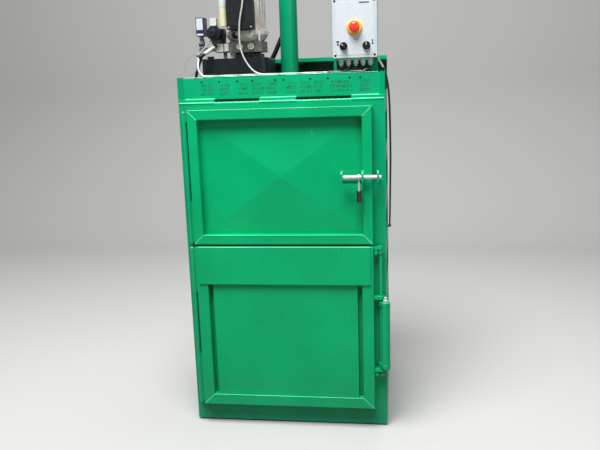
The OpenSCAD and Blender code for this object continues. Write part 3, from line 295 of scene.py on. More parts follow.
NODE_FINISH = {
    "cabinet_enamel": "floor_pan left_side_wall right_side_wall rear_wall left_post right_post "
                      "header_panel bale_hooks fixed_knuckles door_catches box_bracket platen",
    "tube_enamel": "cylinder_tube cylinder_cap",
    "door_enamel": "upper_door_frame upper_door_panel upper_door_knuckles bolt_bracket "
                   "lower_door_frame lower_door_panel band_plate lower_door_knuckles lock_brackets "
                   "lock_shaft lock_handle",
    "recess_shaded_enamel": "top_plate rear_cowl",
    "zinc_plate": "hinge_pins platen_guides cylinder_gland flange_bolts bolt_rod bolt_handle",
    "hard_chrome": "piston_rod",
    "base_enamel": "base_plate",
    "tank_polyethylene": "oil_tank",
    "black_nylon": "pump_body fan_cover terminal_box solenoid_coil left_selector right_selector mains_plug",
    "grip_vinyl": "bolt_grip",
    "milled_aluminium": "valve_block",
    "cast_aluminium": "motor_housing",
    "casting_painted_paler": "bell_flange",
    "cream_case": "run_capacitor",
    "white_nylon": "coil_connector",
    "blue_nylon": "pressure_switch",
    "pale_polycarbonate": "control_box control_box_cover",
    "gland_nylon": "cable_glands",
}


# Shapes: each is (points in mm as an (n, 3) array, faces as a list of index lists)

def unit(v):
    """A vector, or rows of vectors, at length one."""
    return v / np.linalg.norm(v, axis=-1, keepdims=True)


def route(points, steps=8):
    """Straight first and last stretch, and between them a Catmull-Rom curve: each stretch is the cubic
    0.5 (2b + (c-a) t + (2a-5b+4c-d) t^2 + (3b-a-3c+d) t^3) through its neighbours a, b, c and d."""
    points = np.array(points, float)
    inner = points[1:-1]
    padded = np.vstack([inner[:1], inner, inner[-1:]])
    a, b, c, d = (padded[i:len(padded) - 3 + i, None, :] for i in range(4))
    t = (np.arange(steps) / steps)[None, :, None]
    curve = 0.5 * (2 * b + (c - a) * t + (2 * a - 5 * b + 4 * c - d) * t ** 2
                   + (3 * b - a - 3 * c + d) * t ** 3)
    return np.vstack([points[:1], curve.reshape(-1, 3), inner[-1:], points[-1:]])


def run(path):
    """Length of a path up to each of its points."""
    return np.r_[0, np.cumsum(np.linalg.norm(np.diff(path, axis=0), axis=1))]


def evenly(path, step):
    """Points a step apart along a path, by linear interpolation over its length."""
    along = run(path)
    places = np.linspace(0, along[-1], max(2, int(along[-1] / step) + 1))
    return np.column_stack([np.interp(places, along, path[:, k]) for k in range(3)])


def carried_frames(path):
    """Tangents by central differences, and a normal carried along: each is the last one less its part
    along the new tangent, so the tube doesn't twist."""
    tangents = unit(np.gradient(path, axis=0))
    seed = np.eye(3)[np.argmin(np.abs(tangents[0]))]
    normals = np.empty_like(path)
    for i, t in enumerate(tangents):
        seed = unit(seed - (seed @ t) * t)
        normals[i] = seed
    return tangents, normals, np.cross(tangents, normals)


def ring_faces(rows, columns):
    """Quads between rings of points, and the two flat ends."""
    row, column = np.meshgrid(np.arange(rows - 1), np.arange(columns), indexing="ij")
    a = row * columns + column
    b = row * columns + (column + 1) % columns
    quads = np.stack([a, b, b + columns, a + columns], -1).reshape(-1, 4).tolist()
    ends = np.arange(columns)[::-1], np.arange(columns) + (rows - 1) * columns
    return quads + [end.tolist() for end in ends]


def tube(path, radius, sides=12):
    """Circle of a radius, or of one radius for each point, carried along a path, with flat ends:
    p(s) + r(s) (cos a N + sin a B)."""
    tangents, normals, sides_way = carried_frames(path)
    angle = np.linspace(0, 2 * np.pi, sides, endpoint=False)
    radius = np.broadcast_to(radius, len(path))[:, None, None]
    cos, sin = (wave(angle)[None, :, None] for wave in (np.cos, np.sin))
    ring = cos * normals[:, None] + sin * sides_way[:, None]
    points = (path[:, None] + radius * ring).reshape(-1, 3)
    return points, ring_faces(len(path), sides)


def lathe(profile, centre, axis, sides=32):
    """Profile of (height, radius) pairs turned about an axis through a centre:
    C + h A + r (cos a U + sin a V)."""
    profile = np.array(profile, float)
    axis = unit(np.array(axis, float))
    across = unit(np.cross(axis, np.eye(3)[np.argmin(np.abs(axis))]))
    angle = np.linspace(0, 2 * np.pi, sides, endpoint=False)
    ring = np.cos(angle)[:, None] * across + np.sin(angle)[:, None] * np.cross(axis, across)
    points = (np.array(centre, float) + profile[:, 0, None, None] * axis
              + profile[:, 1, None, None] * ring[None]).reshape(-1, 3)
    return points, ring_faces(len(profile), sides)


def plate(outline, y_front, y_back):
    """Outline of (x, z) pairs, seen from the front and run anticlockwise, drawn out along Y."""
    outline = np.array(outline, float)
    count = len(outline)
    layers = [np.column_stack([outline[:, 0], np.full(count, y), outline[:, 1]]) for y in (y_front, y_back)]
    around = [[i, i + count, (i + 1) % count + count, (i + 1) % count] for i in range(count)]
    return np.vstack(layers), around + [list(range(count)), list(range(count, 2 * count))[::-1]]


def rounded(x0, z0, x1, z1, radius, steps=6):
    """Rectangle with corner arcs of a radius, anticlockwise."""
    turn = np.linspace(0, np.pi / 2, steps)
    corners = ((x1 - radius, z0 + radius, -np.pi / 2), (x1 - radius, z1 - radius, 0),
               (x0 + radius, z1 - radius, np.pi / 2), (x0 + radius, z0 + radius, np.pi))
    return np.vstack([np.column_stack([x + radius * np.cos(turn + a), z + radius * np.sin(turn + a)])
                      for x, z, a in corners])


def bead(start, end, radius, ripple_mm=5.0):
    """Weld bead: a tube whose radius swells r (1 + 0.14 sin) with each ripple and closes at its ends
    as the root of the distance from them."""
    start, end = np.array((start, end), float)
    length = np.linalg.norm(end - start)
    s = np.linspace(0, length, max(8, int(length / ripple_mm * 4)))
    path = start + (end - start) * (s / length)[:, None]
    close = np.sqrt(np.clip(np.minimum(s, length - s) / radius, 0.03, 1))
    return tube(path, radius * close * (1 + 0.14 * np.sin(2 * np.pi * s / ripple_mm)), 8)


def strand(path, radius, offset, phase, lay_mm):
    """One cable of a bundle: it winds round the path at an offset, once in each lay length."""
    tangents, normals, across = carried_frames(path)
    angle = (phase + 2 * np.pi * run(path) / lay_mm)[:, None]
    return tube(path + offset * (np.cos(angle) * normals + np.sin(angle) * across), radius, 8)


def hexagon(centre, axis, across_flats, height, chamfer=1.0):
    """Hexagonal head: a six-sided lathe whose top edge is chamfered."""
    radius = across_flats / math.sqrt(3)
    return lathe([(0, radius), (height - chamfer, radius), (height, radius - chamfer)], centre, axis, 6)


def screw(centre, axis, radius, height):
    """Pan head screw with a socket in it."""
    return lathe([(0, radius), (height * 0.5, radius), (height, radius * 0.72), (height, radius * 0.38),
                  (height * 0.4, radius * 0.34)], centre, axis, 20)


def piece(name, shapes, finish, body, slot, replaces=(), smooth=True, bevel_mm=0.0):
    """Joins shapes into one mesh object that rides on a body and takes the finish of that name; the record
    slot is not used.
    """
    offsets = np.cumsum([0] + [len(points) for points, _ in shapes])
    points = np.vstack([points for points, _ in shapes]) * MM
    faces = [[i + offset for i in face] for (_, own), offset in zip(shapes, offsets) for face in own]
    mesh = bpy.data.meshes.new(name)
    mesh.from_pydata(points, [], faces)
    if smooth:
        mesh.shade_smooth()
        mesh.set_sharp_from_angle(angle=math.radians(38))
    obj = bpy.data.objects.new(name, mesh)
    bpy.context.scene.collection.objects.link(obj)
    mesh.materials.append(FINISH[finish])
    if bevel_mm:
        rounding = obj.modifiers.new("edge_rounding", "BEVEL")
        rounding.width, rounding.segments = bevel_mm * MM, 2
        rounding.limit_method, rounding.angle_limit = "ANGLE", math.radians(40)
    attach(obj, body)
    if replaces:
        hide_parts(*replaces)
    return obj


# Settings that a user would change

def millimetres(name, description, default):
    """Setting of a length, with its default in millimetres."""
    return bpy.props.FloatProperty(
        name=name, description=description, default=default * MM, unit="LENGTH")


class BALER_PG_stage(bpy.types.PropertyGroup):
    lens: bpy.props.FloatProperty(
        name="Lens", description="Focal length on a 36 mm sensor", default=42.0, unit="CAMERA")
    floor: bpy.props.FloatVectorProperty(
        name="Floor", description="Colour of the floor and backdrop", subtype="COLOR", size=4,
        default=linear("b8b8b6"))
    key_power: bpy.props.FloatProperty(
        name="Key light", description="Power of the large light above the front", default=620.0, min=0,
        unit="POWER")
    world_strength: bpy.props.FloatProperty(
        name="Sky", description="Strength of the even light from all sides", default=0.12, min=0)


class BALER_PG_cables(bpy.types.PropertyGroup):
    cord_diameter: millimetres("Mains cord", "Diameter of the mains cord", 9)
    hose_diameter: millimetres("Hose", "Diameter of the hydraulic hose", 22)
    motor_cable_diameter: millimetres("Motor cable", "Diameter of the motor's cable", 7)


class BALER_PG_details(bpy.types.PropertyGroup):
    bead_radius: millimetres("Weld bead", "Radius of the weld beads", 2.6)
    mark_width: millimetres("Mark width", "Width of the strokes of the header's marks", 1.5)


# Operators

class BALER_OT_stage(bpy.types.Operator):
    """Camera at the photograph's viewpoint, pale floor and backdrop, and soft light"""
    bl_idname = "baler.stage"
    bl_label = "Stage"

    def execute(self, context):
        scene = context.scene
        settings = scene.baler_stage
        scene.view_settings.view_transform = "Standard"
        camera = bpy.data.objects.new("camera", bpy.data.cameras.new("camera"))
        camera.data.lens, camera.data.sensor_width = settings.lens, 36.0
        camera.data.clip_end = 60
        right, up, back = (0.9903, 0.1346, -0.0325), (0.0042, 0.2051, 0.9787), (0.1386, -0.9694, 0.2030)
        camera.matrix_world = Matrix.Translation((0.485, -3.240, 1.531)) @ Matrix(
            (right, up, back)).transposed().to_4x4()
        scene.collection.objects.link(camera)
        scene.camera = camera

        # The camera and the glossy surfaces see a pale floor; bounced light meets a dimmer one
        dim = "6e6e6c"
        material, tree, shader = new_material("studio_floor", dim, 0.8, Specular_IOR_Level=0.1,
                                              Emission_Color=settings.floor)
        seen = seen_rays(tree)
        feed(tree, shader, "Base Color", blend(tree, seen, dim, settings.floor))
        feed(tree, shader, "Emission Strength", spread(tree, seen, 0, 1, 0.0, 0.1))
        # A floor that turns up into a wall behind, seen as one sheet: flat, a quarter circle, upright
        bend, front, wall, top, half_width = 1.5, -14.0, 4.5, 9.0, 18.0
        turn = np.linspace(0, np.pi / 2, 24)
        depth = np.r_[front, wall - bend + bend * np.sin(turn), wall]
        height = np.r_[0.0, bend - bend * np.cos(turn), top]
        rows = [(x, y, z) for y, z in zip(depth, height) for x in (-half_width, half_width)]
        faces = [[2 * i, 2 * i + 1, 2 * i + 3, 2 * i + 2] for i in range(len(depth) - 1)]
        mesh = bpy.data.meshes.new("studio_floor")
        mesh.from_pydata(rows, [], faces)
        mesh.shade_smooth()
        mesh.materials.append(material)
        floor = bpy.data.objects.new("studio_floor", mesh)
        scene.collection.objects.link(floor)

        # Each light has its place, the point that it faces, its size and its share of the key's power
        for name, place, aim, size, share in (
                ("key_light", (-0.5, -2.4, 6.0), (0, -0.3, 0.9), 3.6, 1.0),
                ("rear_light", (0.4, 0.9, 4.4), (0, 0.2, 1.4), 2.4, 0.1),
                ("fill_light", (2.6, -3.6, 2.2), (0, 0, 0.6), 2.2, 0.05)):
            lamp = bpy.data.lights.new(name, "AREA")
            lamp.shape, lamp.size, lamp.energy = "DISK", size, settings.key_power * share
            holder = bpy.data.objects.new(name, lamp)
            away = unit(np.subtract(place, aim))
            side = unit(np.cross((0, 1, 0.001), away))
            holder.matrix_world = Matrix.Translation(place) @ Matrix(
                (side, np.cross(away, side), away)).transposed().to_4x4()
            scene.collection.objects.link(holder)
        world = bpy.data.worlds.new("studio_light")
        world.use_nodes = True
        tree = world.node_tree
        sky = tree.nodes["Background"]
        sky.inputs["Color"].default_value = linear("f4f6f8")
        # The camera and the glossy surfaces see a pale sky; the light it gives is much weaker
        feed(tree, sky, "Strength", spread(tree, seen_rays(tree), 0, 1, settings.world_strength, 0.6))
        scene.world = world
        return {"FINISHED"}


class BALER_OT_finishes(bpy.types.Operator):
    """Gives each solid its finish"""
    bl_idname = "baler.finishes"
    bl_label = "Finishes"

    def execute(self, context):
        make_finishes()
        for finish, names in NODE_FINISH.items():
            for name in names.split():
                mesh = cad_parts[name].data
                mesh.materials.clear()
                mesh.materials.append(FINISH[finish])
        return {"FINISHED"}


class BALER_OT_mains_cord(bpy.types.Operator):
    """Mains cord: over the cabinet's edge, down its side, over the hook and into a coil on the floor"""
    bl_idname = "baler.mains_cord"
    bl_label = "Mains cord"

    def execute(self, context):
        diameter = context.scene.baler_cables.cord_diameter
        # Points of the way: out of the box and over the side, past the hook, and down to the coil
        leave = np.array([385, -171, 1637])
        over = leave + [(0, 0, 0), (0, 18, 0), (1.5, 37, -2.5), (7, 54, -10.5), (17, 65.5, -26),
                        (30, 70, -47), (44, 71.5, -75), (56, 73, -115), (64, 77, -187), (67, 87, -277)]
        side = np.array([SIDE_X, REAR_Y, HOOK_Z]) + [
            (18, -387, 477), (18, -353, 377), (16, -301, 277), (14, -233, 182), (12, -157, 101),
            (10, -87, 43), (8.6, -47, 18), (8.2, -25, 8), (7.6, -12, 5.3), (5.6, 1.5, 1.3), (1, 13, -6.5),
            (-5.4, 21, -19), (-13, 24.5, -41), (-22, 23, -83), (-30, 19, -163), (-35, 16, -263)]
        low = np.array([SIDE_X, REAR_Y, 0]) + [
            (-38, 16, 300), (-38, 18, 200), (-38, 21, 110), (-38, 22, 52), (-44, 22, 27.5),
            (-60.5, 22, 10.5), (-85, 22, 4.6), (-115, 22, 4.6), (-140.6, 22, 4.6), (-173, 22, 4.6)]
        # The coil winds in by 9.11 mm a turn, climbs one layer in a quarter turn and winds out again
        turns, changes = np.linspace(0, 4.5, 400)[1:], [0, 2.25, 2.5, 4.5]
        angle = -np.pi / 2 - 2 * np.pi * turns
        radius = np.interp(turns, changes, [57, 36.5, 36.5, 54.7])
        rise = np.interp(turns, changes, [4.6, 4.6, 13.6, 13.5])
        coil = np.column_stack([COIL_X + radius * np.cos(angle), COIL_Y + radius * np.sin(angle), rise])
        tail = [(COIL_X + x, COIL_Y + 54.7, z) for x, z in ((23, 13.4), (46, 13.3), (67.9, 13.2))]
        path = evenly(np.vstack([route(np.vstack([over, side, low])), coil, tail]), 3.0)
        cord = piece("mains_cord_cable", [tube(path, diameter / 2 / MM, 14)], "cord_rubber", "cabinet",
                     "cord_rubber", ("mains_cord", "mains_coil"))
        # A white strain relief where the cord leaves the box, then a thin pale sleeve over the cord that is a
        # painted highlight of its glossy rubber lit from above
        sleeve = evenly(path[:42], 2.0)
        taper = np.interp(np.linspace(0, 1, len(sleeve)), [0, 0.05, 0.28, 0.3, 1], [6.6, 6.9, 5.6, 5.0, 5.0])
        relief = piece("cord_relief_and_highlight_sleeve", [tube(sleeve, taper, 18)], *WHITE_PART)
        # Tie round the turns of the coil: a superellipse, whose cosine and sine keep their signs and
        # are raised to the power 0.6
        around = np.linspace(0, 2 * np.pi, 40)[:-1]
        across, up = (np.sign(wave) * np.abs(wave) ** 0.6 for wave in (np.cos(around), np.sin(around)))
        tie_path = np.column_stack([
            COIL_X - 46.9 + 16.6 * across, np.full_like(around, COIL_Y), 9.6 + 9.4 * up])
        tie = piece("coil_tie", [tube(tie_path, 0.9, 6)], *BLACK_PART)
        return {"FINISHED"}


def tail_points(index, radius):
    """Way of a gland's tail: down, then left along its own row on the header's flange."""
    x, low = GLAND_X + GLAND_PITCH * index, GLAND_LOW
    row, z = TAIL_Y[index], FLANGE_TOP + radius
    return [(x, GLAND_Y, low), (x, GLAND_Y, low - 6), (x - 8, GLAND_Y * 0.6 + row * 0.4, low - 13),
            (x - 25, row, z + 4), (x - 50, row, z)]


class BALER_OT_cables(bpy.types.Operator):
    """Cables of the controls and the motor, with their glands, dark sleeves and ties"""
    bl_idname = "baler.cables"
    bl_label = "Cables"

    def execute(self, context):
        motor_radius = context.scene.baler_cables.motor_cable_diameter / 2 / MM
        # The controls' bundle lies along the header, then turns up past the tank to the solenoid
        lie, turn_x = FLANGE_TOP + 5.5, SOLENOID_X
        bundle = evenly(route(tail_points(4, 5.5) + [
            (0, TAIL_Y[4], lie), (turn_x - 4, TAIL_Y[4], lie + 0.3), (turn_x - 32, -292, lie + 4),
            (turn_x - 47, -287, lie + 18), (turn_x - 54, -278, lie + 38), (turn_x - 57, -264, TANK_TOP - 16),
            (turn_x - 58, -250, TANK_TOP + 16)]), 4.0)
        strands = [strand(bundle + (0, 0, 1.5), 2.2, 2.4, phase, 260) for phase in (0.3, 2.4, 4.5)]
        # Sleeved lead to the pressure block, and a thin grey one to the solenoid
        sleeved, thin = (evenly(np.array(way, float), 3.0) for way in (
            ((-355, -254, 1639), (-333, -245, 1651), (-292, -177, 1690)),
            ((-356, -252, 1646), (-344, -232, 1667), (-322, -206, 1694), (-309, -188, 1716))))
        pale = sleeved[9:]
        swell = np.interp(np.arange(len(pale)), [0, 2, 14, 16, 30], [7.0, 8.6, 8.6, 7.4, 6.6])
        strands += [tube(pale, swell, 16)]
        piece("control_bundle", strands, "white_pvc", "cabinet", "white_cable", ("control_cables",))
        loop = evenly(route([(-358, -254, 1645), (-366, -256, 1650), (-377, -262, 1649), (-394, -270, 1633),
                             (-406, -280, 1608), (-408, -285, 1582), (-398, -290, 1569), (-377, -284, 1570),
                             (-362, -276, 1584), (-353, -268, 1604)]), 3.0)
        dome = [(0, 12.0), (6, 12.0), (6, 10.8), (17, 10.8), (23, 9.8), (28, 7.6), (31, 5.4), (33, 5.0)]
        domes = [lathe(dome, (GLAND_X + GLAND_PITCH * i, GLAND_Y, BOX_Z), DOWN, 24)
                 for i in range(len(TAIL_Y))]
        piece("gland_domes", domes, "gland_nylon", "cabinet", "gland_grey", ("cable_glands",))
        piece("tie_loop", [tube(loop, 1.1, 8), tube(thin, 3.2, 12)], "grey_sheath", "cabinet", "grey_plastic")
        # Dark lead that drops past the tank's corner to the top plate, and the tie round the leads
        drop = evenly(route([(-341, -243, 1652), (-350, -236, 1632), (-364, -231, 1602), (-376, -226, 1570),
                             (-384, -223, 1530), (-384, -221, 1476)]), 4.0)
        around = np.linspace(0, 2 * np.pi, 24, endpoint=False)
        tie = np.column_stack([-356 + 7.2 * np.cos(around), -252.5 + 7.2 * np.sin(around),
                               1644 - 2.5 * np.sin(around)])
        piece("lead_rubbers", [
            tube(sleeved[:11], 7.4, 16), tube(sleeved[-7:-2], 8.6, 16), tube(drop, 6.5, 12),
            tube(np.vstack([tie, tie[:1]]), 1.8, 8), tube(bundle[:55], 5.6, 14)], *BLACK_PART)
        # Three dark cables that leave the header's flange for the ways in the top plate
        tails = []
        for i in range(3):
            x, low = GLAND_X - 74 - 14 * i, FLANGE_TOP + 3.5
            way = route(tail_points(i, 3.5) + [(x + 12, TAIL_Y[i], low), (x, -255, low + 1), (x, -243, 1541),
                                               (x, -236, 1512), (x, -236, 1471)])
            tails.append(tube(evenly(way, 4.0), 3.5, 10))
        piece("switch_tails", tails, "cord_rubber", "cabinet", "black_plastic")
        # The motor's cable climbs in front of the terminal box and enters it from above
        motor_x, low, front = MOTOR[0], FLANGE_TOP + 4, MOTOR[1] - 152
        way = evenly(route(tail_points(3, 4) + [
            (motor_x + 168, TAIL_Y[3], low), (motor_x + 108, -280, low + 2), (motor_x + 56, -268, low + 17),
            (motor_x + 16, front, low + 67), (motor_x - 2, front, BLOCK_Z + 26),
            (motor_x, front, BELL_TOP + 25), (motor_x + 16, front, BELL_TOP + 105),
            (motor_x + 20, front + 4, BELL_TOP + 160), (motor_x + 19, front + 17, BELL_TOP + 187),
            (motor_x + 18, front + 34, BELL_TOP + 185), (motor_x + 18, front + 41, BELL_TOP + 164),
            (motor_x + 18, front + 41, BELL_TOP + 156)]), 3.0)
        piece("motor_lead", [tube(way, motor_radius, 12)], "white_pvc", "cabinet", "white_cable",
              ("motor_cable",))
        piece("lead_sleeve", [tube(way[:42], motor_radius + 0.5, 14)], *BLACK_PART)
        return {"FINISHED"}


class BALER_OT_hose(bpy.types.Operator):
    """Hydraulic hose with crimped ends, from the tank's rear outlet to the top of the cylinder"""
    bl_idname = "baler.hose"
    bl_label = "Hydraulic hose"

    def execute(self, context):
        radius = context.scene.baler_cables.hose_diameter / 2 / MM
        start, end = np.array([(-160, 48, 1520.0), (0, 62, 2137.0)])
        # Share of the start's X, then Y in mm, then share of the way up
        ways = [(1, 68, 0), (0.98, 96, 0.016), (0.92, 110, 0.058), (0.81, 111, 0.11), (0.64, 104, 0.173),
                (0.51, 100, 0.231), (0.39, 100, 0.296), (0.2, 102, 0.4), (0.06, 105, 0.52), (0, 106, 0.64),
                (0, 106, 0.75), (0, 110, 0.865), (0, 108, 0.955)]
        points = [(start[0] * x, y, start[2] + (end[2] - start[2]) * z) for x, y, z in ways]
        path = evenly(route([start] + points + [end + (0, 20, 0), end]), 3.0)
        piece("pressure_hose", [tube(path, radius, 18)], "hose_nitrile", "cabinet", "hose_rubber",
              ("hydraulic_hose",))
        crimp = [(0, 11.2), (3, 12.4), (6, 11.6), (9, 12.4), (12, 11.6), (15, 12.4), (18, 11.6), (22, 11.2)]
        piece("hose_crimps", [
            lathe(crimp, start, BACK), lathe(crimp, end, BACK),
            hexagon(start - (0, 1, 0), FRONT, 24, 9), hexagon(end + (0, 1, 0), FRONT, 24, 9)],
              "zinc_plate", "cabinet", "zinc_steel")
        return {"FINISHED"}


class BALER_OT_welds(bpy.types.Operator):
    """Weld beads at mitres, tabs, lugs, hinges and brackets, and pale strips along edges that are painted
    highlights
    """
    bl_idname = "baler.welds"
    bl_label = "Welds"

    def execute(self, context):
        radius = context.scene.baler_details.bead_radius / MM
        face, edge = DOOR_FACE + 0.9, DOOR_FACE + 0.3

        def level(x0, x1, y, z, thickness, ripple_mm=5.0):
            """Bead along X."""
            return bead((x0, y, z), (x1, y, z), thickness, ripple_mm)

        def upright(x, y, z0, z1, thickness):
            """Bead along Z."""
            return bead((x, y, z0), (x, y, z1), thickness)

        def mitres(low, high, width, heights):
            """Beads from the outer corners of a door's frame to its inner ones, at the named heights."""
            corners = [(x, z, sx, sz) for z, sz in ((low, 1), (high, -1)) if z in heights
                       for x, sx in ((DOOR_L, 1), (DOOR_R, -1))]
            return [bead((x + 3 * sx, face, z + 3 * sz), (x + width * sx, face, z + width * sz),
                         radius * 0.75) for x, z, sx, sz in corners]

        def knuckles(spans):
            """Beads along the roots of a door's hinge knuckles."""
            return [upright(DOOR_L - 0.3, -353.5, z0 + 3, z1 - 3, radius) for z0, z1 in spans]

        rail, low, high = 42, *UPPER_DOOR
        upper = mitres(low, high, rail, (low, high)) + knuckles(((852, 1032), (1370, 1412)))
        upper += [upright(343, DOOR_FACE - 0.3, 1116, 1144, 3.4)]
        # Thin pale strips along the top edge and the lower rail are painted highlights of their upward-facing
        # edges
        upper += [level(DOOR_L + 2, DOOR_R - 2, edge, high - 0.4, 1.4, 20),
                  level(DOOR_L + rail, DOOR_R - rail, edge, low + rail - 0.2, 1.4, 20)]
        piece("upper_door_welds_and_highlights", upper, "weld_highlight_enamel", "upper_door", "door_paint")

        rail, low, high = 50, *LOWER_DOOR
        lower = mitres(low, high, rail, (low,)) + knuckles(((106, 338), (627, 827)))
        # Lock brackets, stitches under the band plate, and pale strips along the lower rail and the plate's
        # top, which are painted highlights
        lower += [bead((DOOR_R + 1, y, z + 7), (DOOR_R + 1, -337, z + 7), 3.0)
                  for z, y in ((272, -363), (602, -363), (819, -357))]
        lower += [level(x, x + 26, DOOR_FACE - 0.4, 668.2, 2.0) for x in (-330, -190, -50, 90, 230, 330)]
        lower += [level(DOOR_L + rail, DOOR_R - rail, edge, low + rail - 0.2, 1.4, 20)]
        lower += [level(DOOR_L + 14, DOOR_R - 14, DOOR_FACE - 2.4, high - 1, 2.4, 9)]
        piece("lower_door_welds_and_highlights", lower, "weld_highlight_enamel", "lower_door", "door_paint")

        # Front and back of the spacer tabs, knuckles, the keeper, and pale strips on the lintel's and the
        # header's top edges that are painted highlights of their rounded bends
        cabinet = [level(x0, x1, POST_FACE + 0.5, LINTEL_TOP + 1.5, 3.6, 9) for x0, x1 in TABS]
        cabinet += [level(max(x0, -412), min(x1, 412), HEADER_FACE - 1, LINTEL_TOP + 16, 3.0, 8)
                    for x0, x1 in TABS]
        cabinet += [upright(-414, POST_FACE - 0.8, z0 + 4, z1 - 4, radius)
                    for z0, z1 in ((338, 627), (1032, 1370))]
        cabinet += [level(-433, 433, POST_FACE + 3.2, LINTEL_TOP + 0.2, 3.6, 24),
                    level(-411, 411, HEADER_FACE + 0.4, FLANGE_TOP + 3.4, 1.4, 20),
                    upright(406, POST_FACE - 0.8, 1114, 1145, 3.2)]
        # Round the cylinder where it meets its flange, and along the flange's four sides
        foot, side, seat = 48.6, 65.6, TOP_Z + 0.6
        turn = np.linspace(0, 2 * np.pi, 160)[:-1]
        ring = np.column_stack([foot * np.cos(turn), foot * np.sin(turn), np.full_like(turn, seat + 16)])
        cabinet += [tube(ring, 2.6 * (1 + 0.12 * np.sin(30 * turn)), 8)]
        cabinet += [bead((s * side, -60, seat), (s * side, 60, seat), 2.6) for s in (-1, 1)]
        cabinet += [level(-60, 60, s * side, seat, 2.6) for s in (-1, 1)]
        piece("cabinet_welds_and_highlights", cabinet, "weld_highlight_enamel", "cabinet", "cabinet_paint")
        return {"FINISHED"}


def strokes(lines, width, y, depth):
    """Flat strokes: each line of (x, z) ends becomes a plate half a width to each side of it."""
    shapes = []
    for a, b in lines:
        a, b = np.array((a, b), float)
        along = unit(b - a) * width / 2
        across = np.array([-along[1], along[0]])
        shapes.append(plate([a - along - across, b + along - across, b + along + across, a - along + across],
                            y - depth, y + 0.05))
    return shapes


class BALER_OT_header_marks(bpy.types.Operator):
    """Rows of small plain signs along the header, and plugs in its holes"""
    bl_idname = "baler.header_marks"
    bl_label = "Header marks"

    def execute(self, context):
        width = context.scene.baler_details.mark_width / MM
        box = [((0, 0), (1, 0)), ((1, 0), (1, 0.7)), ((1, 0.7), (0, 0.7)), ((0, 0.7), (0, 0))]
        # Strapped box, arrow down to a line, slanted sheet, cross on a line, box on a stem, three
        # level lines and three upright bars, each in a square of side one
        signs = [
            box + [((0.33, 0), (0.33, 0.7)), ((0.66, 0), (0.66, 0.7))],
            [((0.5, 1), (0.5, 0.2)), ((0.5, 0.2), (0.25, 0.45)), ((0.5, 0.2), (0.75, 0.45)),
             ((0, 0), (1, 0))],
            [((0, 0), (0, 1)), ((0, 1), (0.7, 0.8)), ((0.7, 0.8), (0.7, -0.1)), ((0.7, -0.1), (0, 0))],
            [((0, 0.5), (1, 0.5)), ((0.5, 0), (0.5, 1)), ((0.2, 0), (0.8, 0))],
            box + [((0.5, 0.7), (0.5, 1.1))],
            [((0, h), (1, h)) for h in (0.0, 0.4, 0.8)],
            [((x, 0), (x, 0.9)) for x in (0.1, 0.5, 0.9)],
        ]
        # Each row of a column has the height of its foot, the size of its signs and where it begins
        rows = ((1516, 10, -19), (1498, 11, -24), (1480, 11, -24))
        columns = (-316, -238, -160, -97, -38, 42, 108, 158, 224, 270, 350)
        shapes = []
        for i, x in enumerate(columns):
            spots = [(low, size, x + shift) for low, size, begin in rows
                     for shift in range(begin + 5 * (i % 3), 22, 14)]
            for k, (low, size, left) in enumerate(spots):
                sign = size * np.array(signs[(i * 3 + k * 2) % len(signs)]) + (left, low)
                shapes += strokes(sign, width, HEADER_FACE, 0.25)
        rim = [(-3, 2.3), (0, 2.3), (0, 4.4), (0.7, 3.8), (0.7, 0.4)]
        plugs = [lathe(rim, (x, HEADER_FACE, 1534), FRONT, 16) for x in HEADER_HOLES]
        piece("hole_plugs", plugs, "black_nylon", "cabinet", "cabinet_paint")
        piece("header_marks", shapes, "ink", "cabinet", "cabinet_paint", smooth=False)
        return {"FINISHED"}


